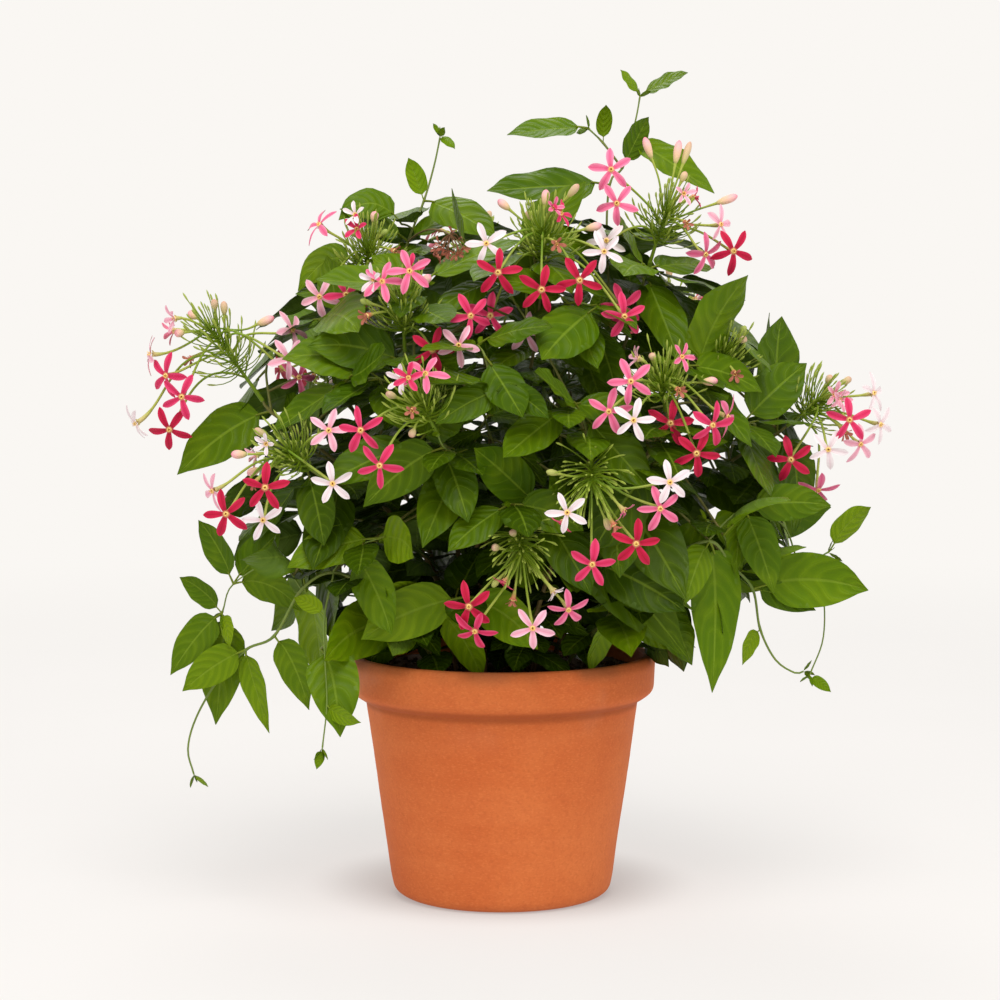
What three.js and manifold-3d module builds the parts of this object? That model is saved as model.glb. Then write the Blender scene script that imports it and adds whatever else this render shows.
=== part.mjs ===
// Potted rangoon creeper: a clay pot, its soil, the leafy canes and their flower heads.
// Millimetres, +Z up, +X to the right, the viewer on the -Y side.
// The origin is the middle of the pot's underside.
import * as THREE from 'three';
import { mergeVertices } from 'three/addons/utils/BufferGeometryUtils.js';
import Module from 'manifold-3d';

const wasm = await Module();
wasm.setup();

// Pot and soil
const POT_HEIGHT = 198;
const RIM_RADIUS = 125;
const RIM_DROP = 40;
const RIM_LIP = 3;
const SHOULDER = 14;
const BODY_TOP_RADIUS = 111;
const BODY_FOOT_RADIUS = 88.5;
const FOOT_ROUND = 9;
const WALL = 10;
const FLOOR = 13;
const POT_SIDES = 32;
const SOIL_TOP = 184;
const CLEARANCE = 0.3;

// Canes and twigs
const CANE_RADII = [3.2, 1.9];
const CANE_SIDES = 4;
const TWIG_RADII = [1.7, 1.2];
const STEM_STEP = 38;
const FOOT_DEPTH = 28;
const HOLE_CLEARANCE = 0.5;
const JOINT = 1.6;
const SEAT_LENGTH = 10;
// A cane's foot stands this far clear above the soil, and grows leaves and twigs only higher up
const FOOT_TOP = 6;
const FIRST_LEAF_HEIGHT = 20;
const FIRST_TWIG_HEIGHT = 30;
// How far the middle of a twig lies outward and up from the straight line
const TWIG_BOW = 6;
const TWIG_RISE = 8;
// A twig that would hardly climb counts as this much longer, and longer still for each mm down
const LOW_CLIMB = 10;
const LOW_COST = 40;
const FALL_COST = 0.5;

// Leaves: half widths are shares of half the breadth
const PETIOLE = 1.05;
const KEEL = 1.4;
const LEAF_STATIONS = [
  { along: 0.12, petiole: true },
  { along: 0.36, share: 0.97 },
  { along: 0.7, share: 0.8 },
];
const TWIG_LEAF_LENGTHS = [64, 92];
const SKIRT_LEAF_LENGTHS = [62, 88];
const LATE_SHRINK = 0.75;
const SKIRT_JOINTS = [2, 3];
const SKIRT_SPREAD = 1.8;
const GOLDEN_TURN = 2.39996;
// What grows is tried this often, with this much air to other pieces, on a face that looks its way
const TRIES = 26;
const AIR = 0.45;
const MIN_FACING = 0.15;
// Numbers that keep the draws of different kinds of growth apart
const BUD_DRAWS = 40;
const NEEDLE_DRAWS = 80;
const TWIG_DRAWS = 200;
const SKIRT_DRAWS = 400;
const SET_DRAWS = 600;

// Flowers
const STALK_RADII = [2.2, 1.7];
const TUBE_RADIUS = 1.05;
// How far a tube keeps its first and its last heading, as shares of its length
const TUBE_LEAVING = 0.42;
const TUBE_ARRIVAL = 0.36;
// Where along its stalk each kind of tube may start
const BLOOM_SHARES = [0.45, 0.92];
const BUD_SHARES = [0.6, 0.98];
const NEEDLE_SHARES = [0.4, 0.97];
const NEEDLE_LENGTHS = [22, 38];
const PETALS = 5;
const PETAL_LENGTH = 17;
const PETAL_GROWTH = 0.6;
// Around one petal: reach and drop as shares of its length, swing in radians
const PETAL_OUTLINE = [
  { reach: 0.78, swing: -0.24, drop: -0.03 },
  { reach: 1, swing: 0, drop: -0.1 },
  { reach: 0.78, swing: 0.24, drop: -0.03 },
  { reach: 0.26, swing: Math.PI / 5, drop: -0.05 },
];
const STAR_DEPTH = 1.7;
const STAR_CROWN = 0.7;
const THROAT_RADIUS = 1.5;
const BUD_RADIUS = 2.1;
const BUD_GROWTH = 0.45;
const NEEDLES = 8;
const STALK_STEP = 6.5;
const STALK_JOINTS = 6;
const BLOOM_SHIFT = 2.2;

// The bush's round, on which the twig ends are spread
const ROUND_CENTRE = new THREE.Vector3(5, 0, 372);
const ROUND_RADII = new THREE.Vector3(205, 150, 178);
const TWIG_ENDS = 56;
const TWIG_FROM = 0.95;
const TWIG_TO = -0.86;

const UP = new THREE.Vector3(0, 0, 1);
const DOWN = new THREE.Vector3(0, 0, -1);
const VIEWER = new THREE.Vector3(0, -1, 0);
const FIRST_SIDE = new THREE.Vector3(0.94, 0.34, 0.02);
const STAR_SIDE = new THREE.Vector3(0.31, 0.22, 0.93);

// Flower heads. A bloom is a place, an age from 0 (white) to 4 (crimson) and how far it faces
// the viewer, from 0 to 1. A bud is a place and a size from 1 to 3.
const HEADS = [
  {
    name: 'head_left_top', seat: [-190, -45, 405], tip: [-232, -52, 465],
    blooms: [[-278, -56, 443, 1, 0.1], [-265, -62, 426, 3, 0.5], [-251, -78, 410, 3, 0.9],
      [-290, -56, 388, 0, 0.2], [-267, -66, 377, 4, 0.7], [-165, -62, 462, 1, 0.3],
      [-167, -78, 440, 1, 0.6], [-160, -66, 425, 2, 0.4]],
    buds: [[-246, -55, 483, 3], [-258, -55, 458, 3], [-223, -55, 483, 2], [-215, -58, 475, 2],
      [-180, -55, 472, 3]],
  },
  {
    name: 'head_left_mid', seat: [-146, -115, 355], tip: [-167, -123, 372],
    blooms: [[-222, -130, 340, 1, 0.3], [-179, -162, 345, 4, 0.95], [-210, -140, 315, 4, 0.9],
      [-182, -146, 319, 0, 0.9], [-128, -162, 348, 0, 0.85], [-131, -158, 388, 1, 0.8]],
    buds: [[-207, -125, 369, 3], [-208, -128, 356, 3], [-192, -125, 380, 2]],
  },
  {
    name: 'head_upper_left', seat: [-110, -25, 495], tip: [-106, -33, 528],
    blooms: [[-145, -42, 545, 2, 0.2], [-144, -56, 488, 1, 0.6], [-129, -66, 477, 3, 0.8],
      [-110, -64, 472, 0, 0.7]],
    buds: [[-105, -35, 551, 3], [-119, -35, 540, 1], [-91, -35, 541, 1]],
  },
  {
    name: 'head_mid_left', seat: [-75, -105, 446], tip: [-77, -113, 486],
    blooms: [[-70, -144, 508, 2, 0.8], [-91, -138, 500, 2, 0.5], [-33, -147, 452, 1, 0.95],
      [-24, -134, 474, 3, 0.7], [-47, -149, 443, 4, 0.8]],
    buds: [[-55, -115, 505, 3], [-109, -115, 486, 1]],
  },
  {
    name: 'head_centre_left', seat: [-48, -165, 384], tip: [-62, -173, 414],
    blooms: [[-105, -192, 390, 3, 0.8], [-91, -196, 364, 3, 0.85], [-57, -194, 432, 2, 0.3]],
    buds: [[-87, -176, 417, 2], [-73, -176, 426, 2], [-66, -178, 382, 2]],
  },
  {
    name: 'head_crown', seat: [31, -85, 507], tip: [31, -93, 541],
    blooms: [[-12, -126, 529, 0, 0.9], [-3, -133, 507, 4, 0.95], [30, -137, 494, 4, 0.95],
      [59, -133, 501, 4, 0.95], [78, -121, 523, 0, 0.85], [39, -107, 446, 1, 0.75],
      [-9, -110, 474, 3, 0.9], [72, -108, 460, 3, 0.8], [88, -110, 486, 3, 0.8]],
    buds: [[-3, -95, 563, 3], [32, -95, 573, 3], [24, -95, 566, 2], [51, -95, 562, 2],
      [77, -95, 544, 3]],
  },
  {
    name: 'head_upper_right', seat: [118, -25, 514], tip: [132, -33, 560],
    blooms: [[86, -50, 588, 2, 0.9], [90, -64, 561, 2, 0.8], [183, -48, 524, 4, 0.75],
      [173, -44, 545, 1, 0.3], [162, -52, 521, 2, 0.3], [82, -64, 532, 0, 0.7]],
    buds: [[113, -35, 614, 3], [140, -35, 611, 2], [148, -35, 608, 3], [146, -35, 583, 2],
      [187, -35, 568, 3]],
  },
  {
    name: 'head_right_mid', seat: [125, -130, 401], tip: [122, -138, 427],
    blooms: [[96, -182, 426, 2, 0.95], [80, -172, 403, 2, 0.95], [98, -184, 397, 0, 0.98],
      [108, -168, 371, 4, 0.95], [147, -154, 365, 4, 0.9], [171, -146, 398, 2, 0.2],
      [154, -162, 390, 3, 0.5]],
    buds: [[113, -140, 446, 2], [164, -140, 425, 3], [143, -140, 448, 1]],
  },
  {
    name: 'head_right', seat: [229, -20, 384], tip: [256, -28, 407],
    blooms: [[228, -66, 360, 4, 0.95], [257, -68, 368, 0, 0.9], [272, -69, 390, 3, 0.95],
      [297, -34, 411, 0, 0.3], [303, -36, 390, 0, 0.4], [287, -44, 371, 1, 0.5],
      [256, -36, 340, 2, 0.4]],
    buds: [[267, -30, 430, 2], [275, -30, 421, 2], [248, -32, 330, 2]],
  },
  {
    name: 'head_front_right', seat: [68, -146, 372], tip: [67, -176, 346],
    blooms: [[48, -208, 330, 0, 0.97], [58, -200, 306, 3, 0.97], [100, -189, 305, 4, 0.9],
      [118, -186, 331, 2, 0.8], [125, -188, 351, 0, 0.9]],
    buds: [[84, -176, 321, 2], [33, -176, 358, 1]],
  },
  {
    name: 'head_front_low', seat: [13, -136, 322], tip: [15, -162, 292],
    blooms: [[-25, -174, 256, 4, 0.9], [23, -177, 240, 1, 0.95], [-1, -180, 253, 3, 0.5],
      [50, -168, 253, 2, 0.5]],
    buds: [[-8, -162, 300, 2], [7, -162, 313, 2], [-6, -164, 266, 1]],
  },
  {
    name: 'head_small_right', seat: [166, -54, 418], tip: [176, -66, 448],
    blooms: [],
    buds: [[170, -70, 462, 1], [182, -70, 464, 1], [192, -70, 456, 2]],
  },
  {
    name: 'head_back_left', seat: [-135, 105, 410], tip: [-150, 122, 440],
    blooms: [[-190, 130, 425, 3, 0], [-170, 150, 405, 4, 0], [-140, 160, 420, 0, 0]],
    buds: [[-160, 130, 470, 3], [-140, 140, 465, 2]],
  },
  {
    name: 'head_back_crown', seat: [-20, 105, 500], tip: [-25, 120, 535],
    blooms: [[-65, 135, 525, 2, 0], [-35, 160, 505, 4, 0], [10, 155, 510, 1, 0]],
    buds: [[-40, 130, 565, 3], [-10, 135, 560, 2]],
  },
  {
    name: 'head_back_right', seat: [125, 100, 440], tip: [140, 118, 472],
    blooms: [[180, 130, 465, 0, 0], [165, 150, 440, 3, 0], [125, 160, 450, 4, 0]],
    buds: [[150, 130, 502, 3], [130, 135, 498, 2]],
  },
  {
    name: 'head_back_low', seat: [35, 150, 345], tip: [40, 172, 365],
    blooms: [[80, 200, 355, 4, 0], [45, 215, 335, 3, 0], [0, 205, 350, 0, 0]],
    buds: [[60, 190, 395, 2], [25, 195, 395, 2]],
  },
];

// Canes. Each starts at its foot in the soil and follows its route; one with a head ends at that
// head's seat. A branch starts at the nearest point of its cane. A leaf is a place on the stem and
// the place of its tip.
const CANES = [
  {
    name: 'cane_left', foot: [-38, -8],
    route: [[-60, -18, 275], [-120, -34, 345]], head: 'head_left_top',
    branches: [
      { route: [[-115, -50, 335]], head: 'head_left_mid' },
    ],
    leaves: [[[-180, -42, 396], [-258, -52, 347]], [[-140, -38, 370], [-150, -80, 425]],
      [[-130, -70, 345], [-145, -140, 280]]],
  },
  {
    name: 'cane_upper_left', foot: [-26, 18],
    route: [[-45, 12, 330], [-88, 0, 425]], head: 'head_upper_left',
    branches: [
      { route: [[-88, 0, 440], [-80, 5, 520], [-60, 15, 575], [-50, 20, 618]] },
    ],
    leaves: [[[-60, 15, 575], [-76, 15, 600]], [[-50, 20, 616], [-56, 20, 628]],
      [[-50, 20, 616], [-38, 10, 607]], [[-58, 15, 578], [-5, -35, 535]],
      [[-80, 5, 530], [-130, -15, 558]], [[-105, -15, 480], [-165, -30, 490]],
      [[-75, 10, 540], [-30, 30, 560]]],
  },
  {
    name: 'cane_mid_left', foot: [-14, -22],
    route: [[-24, -50, 320], [-58, -90, 395]], head: 'head_mid_left',
    branches: [
      { route: [[-22, -50, 320], [-28, -120, 362]], head: 'head_centre_left' },
    ],
    leaves: [[[-72, -102, 436], [-150, -112, 450]], [[-35, -110, 355], [-60, -170, 300]],
      [[-48, -150, 375], [-105, -160, 330]]],
  },
  {
    name: 'cane_crown', foot: [4, 2],
    route: [[6, -28, 340], [24, -66, 440]], head: 'head_crown',
    branches: [
      { route: [[10, -34, 350], [-14, -120, 400], [2, -165, 420]] },
    ],
    leaves: [[[2, -163, 418], [-50, -182, 394]], [[2, -163, 418], [35, -185, 398]],
      [[28, -75, 470], [20, -60, 535]], [[28, -70, 460], [75, -120, 430]]],
  },
  {
    name: 'cane_upper_right', foot: [26, 20],
    route: [[48, 12, 330], [92, -8, 430]], head: 'head_upper_right',
    branches: [
      { route: [[92, -4, 440], [84, 8, 560], [98, 16, 592], [108, 20, 628], [112, 20, 650]] },
      { route: [[94, 14, 590], [82, 16, 612], [70, 20, 624]] },
    ],
    leaves: [[[112, 20, 648], [96, 18, 671]], [[112, 20, 648], [150, 8, 668]],
      [[70, 20, 623], [4, 6, 618]], [[82, 16, 610], [84, 5, 642]], [[98, 16, 604], [118, 0, 632]],
      [[100, 18, 606], [166, -10, 566]], [[84, 8, 572], [-12, -26, 572]],
      [[84, 4, 560], [20, -56, 532]], [[112, -20, 500], [140, -72, 436]],
      [[98, -8, 450], [162, -50, 442]]],
  },
  {
    name: 'cane_right_mid', foot: [26, -26],
    route: [[58, -74, 290], [100, -112, 350]], head: 'head_right_mid',
    branches: [
      { route: [[110, -105, 360], [148, -72, 396]], head: 'head_small_right' },
    ],
    leaves: [[[60, -78, 292], [30, -160, 262]], [[92, -108, 338], [140, -150, 258]]],
  },
  {
    name: 'cane_right', foot: [42, 4],
    route: [[88, -8, 290], [168, -16, 345]], head: 'head_right',
    branches: [],
    leaves: [[[215, -18, 378], [226, -5, 472]], [[190, -17, 362], [172, -70, 412]],
      [[220, -19, 380], [278, -45, 310]], [[150, -15, 335], [215, -55, 300]]],
  },
  {
    name: 'cane_front_right', foot: [14, -50],
    route: [[36, -92, 270], [62, -120, 345]], head: 'head_front_right',
    branches: [
      { route: [[30, -88, 262], [16, -112, 306]], head: 'head_front_low' },
    ],
    leaves: [[[52, -126, 312], [112, -150, 232]], [[60, -138, 335], [35, -178, 345]]],
  },
  {
    name: 'cane_low_left', foot: [-52, -32],
    route: [[-80, -75, 235], [-118, -105, 272], [-150, -112, 268], [-178, -98, 224],
      [-208, -76, 206], [-236, -66, 168], [-250, -62, 134], [-246, -60, 108]],
    branches: [
      { route: [[-148, -108, 272], [-176, -92, 282], [-212, -72, 262], [-222, -66, 238]] },
      { route: [[-124, -106, 268], [-138, -126, 232], [-134, -140, 188], [-138, -144, 142]] },
    ],
    leaves: [[[-214, -70, 262], [-240, -66, 312]], [[-200, -78, 270], [-174, -76, 304]],
      [[-218, -68, 250], [-256, -60, 266]], [[-222, -66, 242], [-262, -76, 190]],
      [[-208, -76, 206], [-252, -82, 178]], [[-212, -72, 258], [-156, -92, 258]],
      [[-221, -66, 240], [-214, -84, 213]], [[-84, -78, 240], [-146, -132, 240]],
      [[-136, -130, 222], [-124, -146, 150]], [[-180, -96, 222], [-150, -114, 168]],
      [[-176, -98, 226], [-178, -106, 205]], [[-118, -105, 272], [-160, -134, 258]],
      [[-212, -74, 202], [-204, -66, 164]], [[-236, -66, 168], [-228, -62, 148]],
      [[-138, -143, 146], [-142, -142, 126]]],
  },
  {
    name: 'cane_low_right', foot: [52, -24],
    route: [[96, -80, 250], [150, -112, 300], [176, -92, 282], [200, -68, 254],
      [208, -62, 212], [230, -60, 191], [240, -56, 190]],
    branches: [
      { route: [[150, -104, 304], [190, -84, 322], [222, -66, 308], [236, -60, 276],
        [254, -56, 256], [256, -56, 218], [245, -56, 186]] },
      { route: [[236, -60, 282], [248, -58, 280], [260, -56, 286]] },
    ],
    leaves: [[[152, -108, 302], [140, -142, 254]], [[190, -84, 320], [182, -94, 272]],
      [[198, -80, 318], [212, -102, 258]], [[205, -76, 316], [258, -82, 325]],
      [[258, -56, 284], [292, -62, 322]], [[202, -66, 250], [288, -82, 258]],
      [[200, -68, 256], [246, -72, 240]], [[206, -64, 236], [190, -76, 198]],
      [[245, -57, 188], [262, -60, 174]], [[182, -86, 276], [194, -76, 224]],
      [[100, -84, 256], [104, -150, 226]]],
  },
  {
    name: 'cane_back_left', foot: [-36, 44],
    route: [[-70, 70, 300], [-115, 92, 370]], head: 'head_back_left', branches: [], leaves: [],
  },
  {
    name: 'cane_back_crown', foot: [-4, 36],
    route: [[-8, 60, 330], [-15, 90, 440]], head: 'head_back_crown', branches: [], leaves: [],
  },
  {
    name: 'cane_back_right', foot: [34, 48],
    route: [[70, 72, 300], [108, 90, 380]], head: 'head_back_right', branches: [], leaves: [],
  },
  {
    name: 'cane_back_low', foot: [6, 62],
    route: [[14, 100, 270], [28, 128, 315]], head: 'head_back_low', branches: [], leaves: [],
  },
];

const COLOURS = {
  clay: '#b5603a', soil: '#2b1d14', leaf: '#3c6b24', flower: '#d2405f',
};

function vector(point) {
  return new THREE.Vector3(point[0], point[1], point[2]);
}

// A repeatable stream of draws between 0 and 1
function draws(...seeds) {
  let state = 2166136261;
  for (const seed of seeds) {
    state = Math.imul(state ^ (seed + 1), 16777619) >>> 0;
  }
  const next = () => {
    state = (Math.imul(state, 1664525) + 1013904223) >>> 0;
    return state / 4294967296;
  };
  next();
  next();
  return next;
}

function between(next, low, high) {
  return low + (high - low) * next();
}

// Part of a direction that is square to another, at unit length
function squareTo(direction, forward) {
  const square = direction.clone().addScaledVector(forward, -direction.dot(forward));
  return square.normalize();
}

// Points of a ring around a path, right-handed about its direction
function ring(centre, side, forward, radius, sides) {
  const lift = new THREE.Vector3().crossVectors(forward, side);
  return Array.from({ length: sides }, (unused, i) => {
    const angle = (2 * Math.PI * i) / sides;
    return centre.clone()
      .addScaledVector(side, radius * Math.cos(angle))
      .addScaledVector(lift, radius * Math.sin(angle));
  });
}

// Triangles between two rings of the same size, or from a ring to a single point
function band(lower, upper) {
  return lower.flatMap((point, j) => {
    const k = (j + 1) % lower.length;
    return upper.length === 1
      ? [[point, lower[k], upper[0]]]
      : [[point, lower[k], upper[k]], [point, upper[k], upper[j]]];
  });
}

function sleeve(rings) {
  return rings.slice(1).flatMap((upper, i) => band(rings[i], upper));
}

// Flat end of a ring, facing along its direction
function cap(points) {
  return points.slice(2).map((point, i) => [points[0], points[i + 1], point]);
}

function flipped(triangles) {
  return triangles.map(([a, b, c]) => [a, c, b]);
}

// A solid from triangles that share their corner points
function solidFrom(triangles) {
  const numbers = new Map();
  triangles.flat().forEach((point) => {
    if (!numbers.has(point)) {
      numbers.set(point, numbers.size);
    }
  });
  const vertProperties = new Float32Array(numbers.size * 3);
  numbers.forEach((number, point) => point.toArray(vertProperties, 3 * number));
  const triVerts = new Uint32Array(triangles.flat().map((point) => numbers.get(point)));
  return new wasm.Manifold(new wasm.Mesh({ numProp: 3, vertProperties, triVerts }));
}

function solidOf(geometry) {
  geometry.deleteAttribute('normal');
  geometry.deleteAttribute('uv');
  const merged = mergeVertices(geometry, 1e-4);
  const vertProperties = new Float32Array(merged.attributes.position.array);
  const triVerts = new Uint32Array(merged.index.array);
  return new wasm.Manifold(new wasm.Mesh({ numProp: 3, vertProperties, triVerts }));
}

function meshOf(name, solid, colour, roughness) {
  const { vertProperties, triVerts } = solid.getMesh();
  const geometry = new THREE.BufferGeometry();
  geometry.setAttribute('position', new THREE.BufferAttribute(new Float32Array(vertProperties), 3));
  geometry.setIndex(new THREE.BufferAttribute(new Uint32Array(triVerts), 1));
  const material = new THREE.MeshStandardMaterial({ color: colour, roughness, metalness: 0 });
  const mesh = new THREE.Mesh(geometry, material);
  mesh.name = name;
  return mesh;
}

// Pot
function potSolid() {
  const collarFoot = POT_HEIGHT - RIM_DROP;
  const innerTop = RIM_RADIUS - WALL;
  const innerFoot = BODY_FOOT_RADIUS - WALL;
  const profile = [
    [0, 0], [BODY_FOOT_RADIUS - FOOT_ROUND, 0], [BODY_FOOT_RADIUS - 2, 2.5],
    [BODY_FOOT_RADIUS + 1, FOOT_ROUND], [BODY_TOP_RADIUS, collarFoot],
    [RIM_RADIUS - 6, collarFoot + 1.5], [RIM_RADIUS - 2.2, collarFoot + 9],
    [RIM_RADIUS, POT_HEIGHT - RIM_LIP], [RIM_RADIUS - RIM_LIP, POT_HEIGHT],
    [innerTop + RIM_LIP, POT_HEIGHT], [innerTop, POT_HEIGHT - RIM_LIP],
    [innerTop - 1, collarFoot + SHOULDER], [BODY_TOP_RADIUS - WALL, collarFoot - 2],
    [innerFoot, FLOOR], [0, FLOOR],
  ];
  const outline = profile.map(([radius, height]) => new THREE.Vector2(radius, height));
  return solidOf(new THREE.LatheGeometry(outline, POT_SIDES).rotateX(Math.PI / 2));
}

// Soil with a plain hole for each cane
function soilSolid() {
  const collarFoot = POT_HEIGHT - RIM_DROP;
  const gap = CLEARANCE + 0.1;
  const profile = [
    [0, FLOOR + CLEARANCE], [BODY_FOOT_RADIUS - WALL - gap, FLOOR + CLEARANCE],
    [BODY_TOP_RADIUS - WALL - gap, collarFoot - 2 + gap],
    [RIM_RADIUS - WALL - 1 - gap, collarFoot + SHOULDER + gap],
    [RIM_RADIUS - WALL - 1 - gap, SOIL_TOP],
    [0, SOIL_TOP],
  ];
  const outline = profile.map(([radius, height]) => new THREE.Vector2(radius, height));
  let soil = solidOf(new THREE.LatheGeometry(outline, POT_SIDES).rotateX(Math.PI / 2));
  const side = squareTo(FIRST_SIDE, UP);
  for (const cane of CANES) {
    const bottom = new THREE.Vector3(cane.foot[0], cane.foot[1], SOIL_TOP - FOOT_DEPTH - CLEARANCE);
    const rings = [bottom, bottom.clone().setZ(SOIL_TOP + FOOT_TOP)].map(
      (centre) => ring(centre, side, UP, CANE_RADII[0] + HOLE_CLEARANCE, CANE_SIDES),
    );
    soil = soil.subtract(solidFrom([...sleeve(rings), ...flipped(cap(rings[0])), ...cap(rings[1])]));
  }
  return soil;
}

// Every solid placed so far, by node, with the box around it
const placed = [];

function keep(node, solid) {
  placed.push({ node, solid, box: solid.boundingBox() });
}

function boxesMeet(a, b) {
  return [0, 1, 2].every((i) => a.min[i] <= b.max[i] && b.min[i] <= a.max[i]);
}

function isFree(solid, counts) {
  const box = solid.boundingBox();
  return placed.every((other) => !counts(other)
    || !boxesMeet(box, other.box) || solid.intersect(other.solid).isEmpty());
}

// Stem: rings along an axis, two close together at each point so that something can grow there
function shapeStem({ node, axis, radii, sides, base = null }) {
  const [radius, tipRadius] = radii;
  let side = squareTo(FIRST_SIDE, directionAt(axis, 0));
  const joints = axis.map((point, i) => {
    const last = i === axis.length - 1;
    const forward = directionAt(axis, i);
    side = squareTo(side, forward);
    const size = radius + (tipRadius - radius) * (i / (axis.length - 1));
    const before = last ? -2 * JOINT : -JOINT;
    const after = last ? 0 : JOINT;
    const ringAt = (shift) => (
      ring(point.clone().addScaledVector(forward, shift), side, forward, size, sides)
    );
    return { single: ringAt(0), lower: ringAt(before), upper: ringAt(after), taken: new Set() };
  });
  if (base) {
    turnToFace(base, joints);
  }
  return { node, axis, joints, base };
}

function makeStem(shape) {
  const stem = shapeStem(shape);
  keep(stem.node, solidFrom(stemTriangles(stem, true)));
  return stem;
}

// Turns a sprout's rings so that their first points meet the face's
function turnToFace(base, joints) {
  const turn = bestTurn(base, joints[1].lower);
  joints.forEach((joint) => {
    joint.single = turned(joint.single, turn);
    joint.lower = turned(joint.lower, turn);
    joint.upper = turned(joint.upper, turn);
  });
}

function turned(points, turn) {
  return points.map((unused, i) => points[(i + turn) % points.length]);
}

function bestTurn(face, points) {
  const costs = points.map((unused, turn) => turned(points, turn)
    .reduce((sum, point, i) => sum + point.distanceTo(face[i]), 0));
  return costs.indexOf(Math.min(...costs));
}

// The stem's own triangles; a joint where nothing grew is a single ring
function stemTriangles(stem, closed) {
  const rings = stem.base ? [stem.base] : [stem.joints[0].single];
  const triangles = [];
  stem.joints.slice(1).forEach((joint, i) => {
    const last = i === stem.joints.length - 2;
    if (joint.taken.size === 0 && !closed) {
      rings.push(last ? joint.upper : joint.single);
      return;
    }
    rings.push(joint.lower, joint.upper);
  });
  for (let i = 1; i < rings.length; i += 1) {
    const joint = stem.joints.find(({ lower }) => lower === rings[i - 1]);
    triangles.push(...band(rings[i - 1], rings[i])
      .filter((unused, number) => closed || !joint || !joint.taken.has(number)));
  }
  triangles.push(...cap(rings.at(-1)));
  if (closed || !stem.base) {
    triangles.push(...flipped(cap(rings[0])));
  }
  return triangles;
}

function directionAt(axis, i) {
  const before = axis[Math.max(i - 1, 0)];
  const after = axis[Math.min(i + 1, axis.length - 1)];
  return after.clone().sub(before).normalize();
}

// Evenly numbered points along a smooth curve through the given places
function smoothAxis(places, step) {
  const curve = new THREE.CatmullRomCurve3(places, false, 'catmullrom', 0.5);
  let length = 0;
  for (let i = 1; i < places.length; i += 1) {
    length += places[i].distanceTo(places[i - 1]);
  }
  return curve.getPoints(Math.max(2, Math.ceil(length / step)));
}

// The free faces at a stem's joint, the one that looks most nearly along the heading first
function freeFaces(stem, i, heading) {
  const joint = stem.joints[i];
  return band(joint.lower, joint.upper)
    .map((face, number) => ({ face, number, joint, along: faceNormal(face).dot(heading) }))
    .filter(({ number }) => !joint.taken.has(number))
    .sort((a, b) => b.along - a.along);
}

function faceNormal([a, b, c]) {
  return b.clone().sub(a).cross(c.clone().sub(a)).normalize();
}

// The joints of some stems, the nearest to a place first
function nearestJoints(stemList, place) {
  return stemList
    .flatMap((stem) => stem.axis.map((point, i) => ({ stem, i, gap: point.distanceTo(place) })))
    .filter(({ stem, i }) => i > 0 && (stem.base || stem.axis[i].z > SOIL_TOP + FIRST_LEAF_HEIGHT))
    .sort((a, b) => a.gap - b.gap);
}

// The cane itself: a straight foot in the soil, then its route
function caneAxis(cane) {
  const foot = new THREE.Vector3(cane.foot[0], cane.foot[1], SOIL_TOP - FOOT_DEPTH);
  const places = [foot.clone().setZ(SOIL_TOP + FOOT_TOP), ...cane.route.map(vector)];
  return [foot, ...axisToHead(places, cane.head)];
}

function headNamed(name) {
  const head = HEADS.find((candidate) => candidate.name === name);
  const seat = vector(head.seat);
  const tip = vector(head.tip);
  return { seat, tip, direction: tip.clone().sub(seat).normalize() };
}

// A stem that carries a head ends square to it, at its seat
function axisToHead(places, name) {
  if (!name) {
    return smoothAxis(places, STEM_STEP);
  }
  const { seat, direction } = headNamed(name);
  const neck = seat.clone().addScaledVector(direction, -SEAT_LENGTH);
  return [...smoothAxis([...places, neck], STEM_STEP), seat];
}

// A branch or twig that leaves a joint of another stem
function sproutStem(stem, i, axis) {
  const { face, number, joint } = freeFaces(stem, i, headingOf(axis))[0];
  joint.taken.add(number);
  return makeStem({ node: stem.node, axis, radii: TWIG_RADII, sides: 3, base: face });
}

function headingOf(axis) {
  return axis[1].clone().sub(axis[0]).normalize();
}

function growBranch(branch, stemList) {
  const places = branch.route.map(vector);
  const { stem, i } = nearestJoints(stemList, places[0])[0];
  const axis = axisToHead([stem.axis[i], ...places.slice(1)], branch.head);
  return sproutStem(stem, i, axis);
}

// Leaf: a petiole and a folded blade along one arched midrib
function leafRings(leaf, extra) {
  const curve = new THREE.QuadraticBezierCurve3(leaf.root, leaf.bend, leaf.tip);
  const rings = LEAF_STATIONS.map((station) => {
    const point = curve.getPoint(station.along);
    const forward = curve.getTangent(station.along);
    const lift = squareTo(leaf.face, forward);
    const side = new THREE.Vector3().crossVectors(forward, lift);
    const half = (station.petiole ? PETIOLE : (station.share * leaf.breadth) / 2) + extra;
    const top = point.clone().addScaledVector(lift, extra);
    const keel = point.clone().addScaledVector(lift, -KEEL - extra);
    return [top.clone().addScaledVector(side, half), keel, top.addScaledVector(side, -half)];
  });
  return [...rings, [leaf.tip.clone().addScaledVector(curve.getTangent(1), extra)]];
}

// A sprout from a face: its rings are turned to meet the face's corners
function sproutTriangles(face, rings) {
  const turn = bestTurn(face, rings[0]);
  return sleeve([face, ...rings.map((points) => turned(points, points.length === 3 ? turn : 0))]);
}

function closedSprout(face, triangles) {
  return solidFrom([...triangles, ...flipped([face])]);
}

// Outward direction of the bush's round at a place
function outward(place) {
  return place.clone().sub(ROUND_CENTRE).divide(ROUND_RADII).divide(ROUND_RADII).normalize();
}

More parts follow.
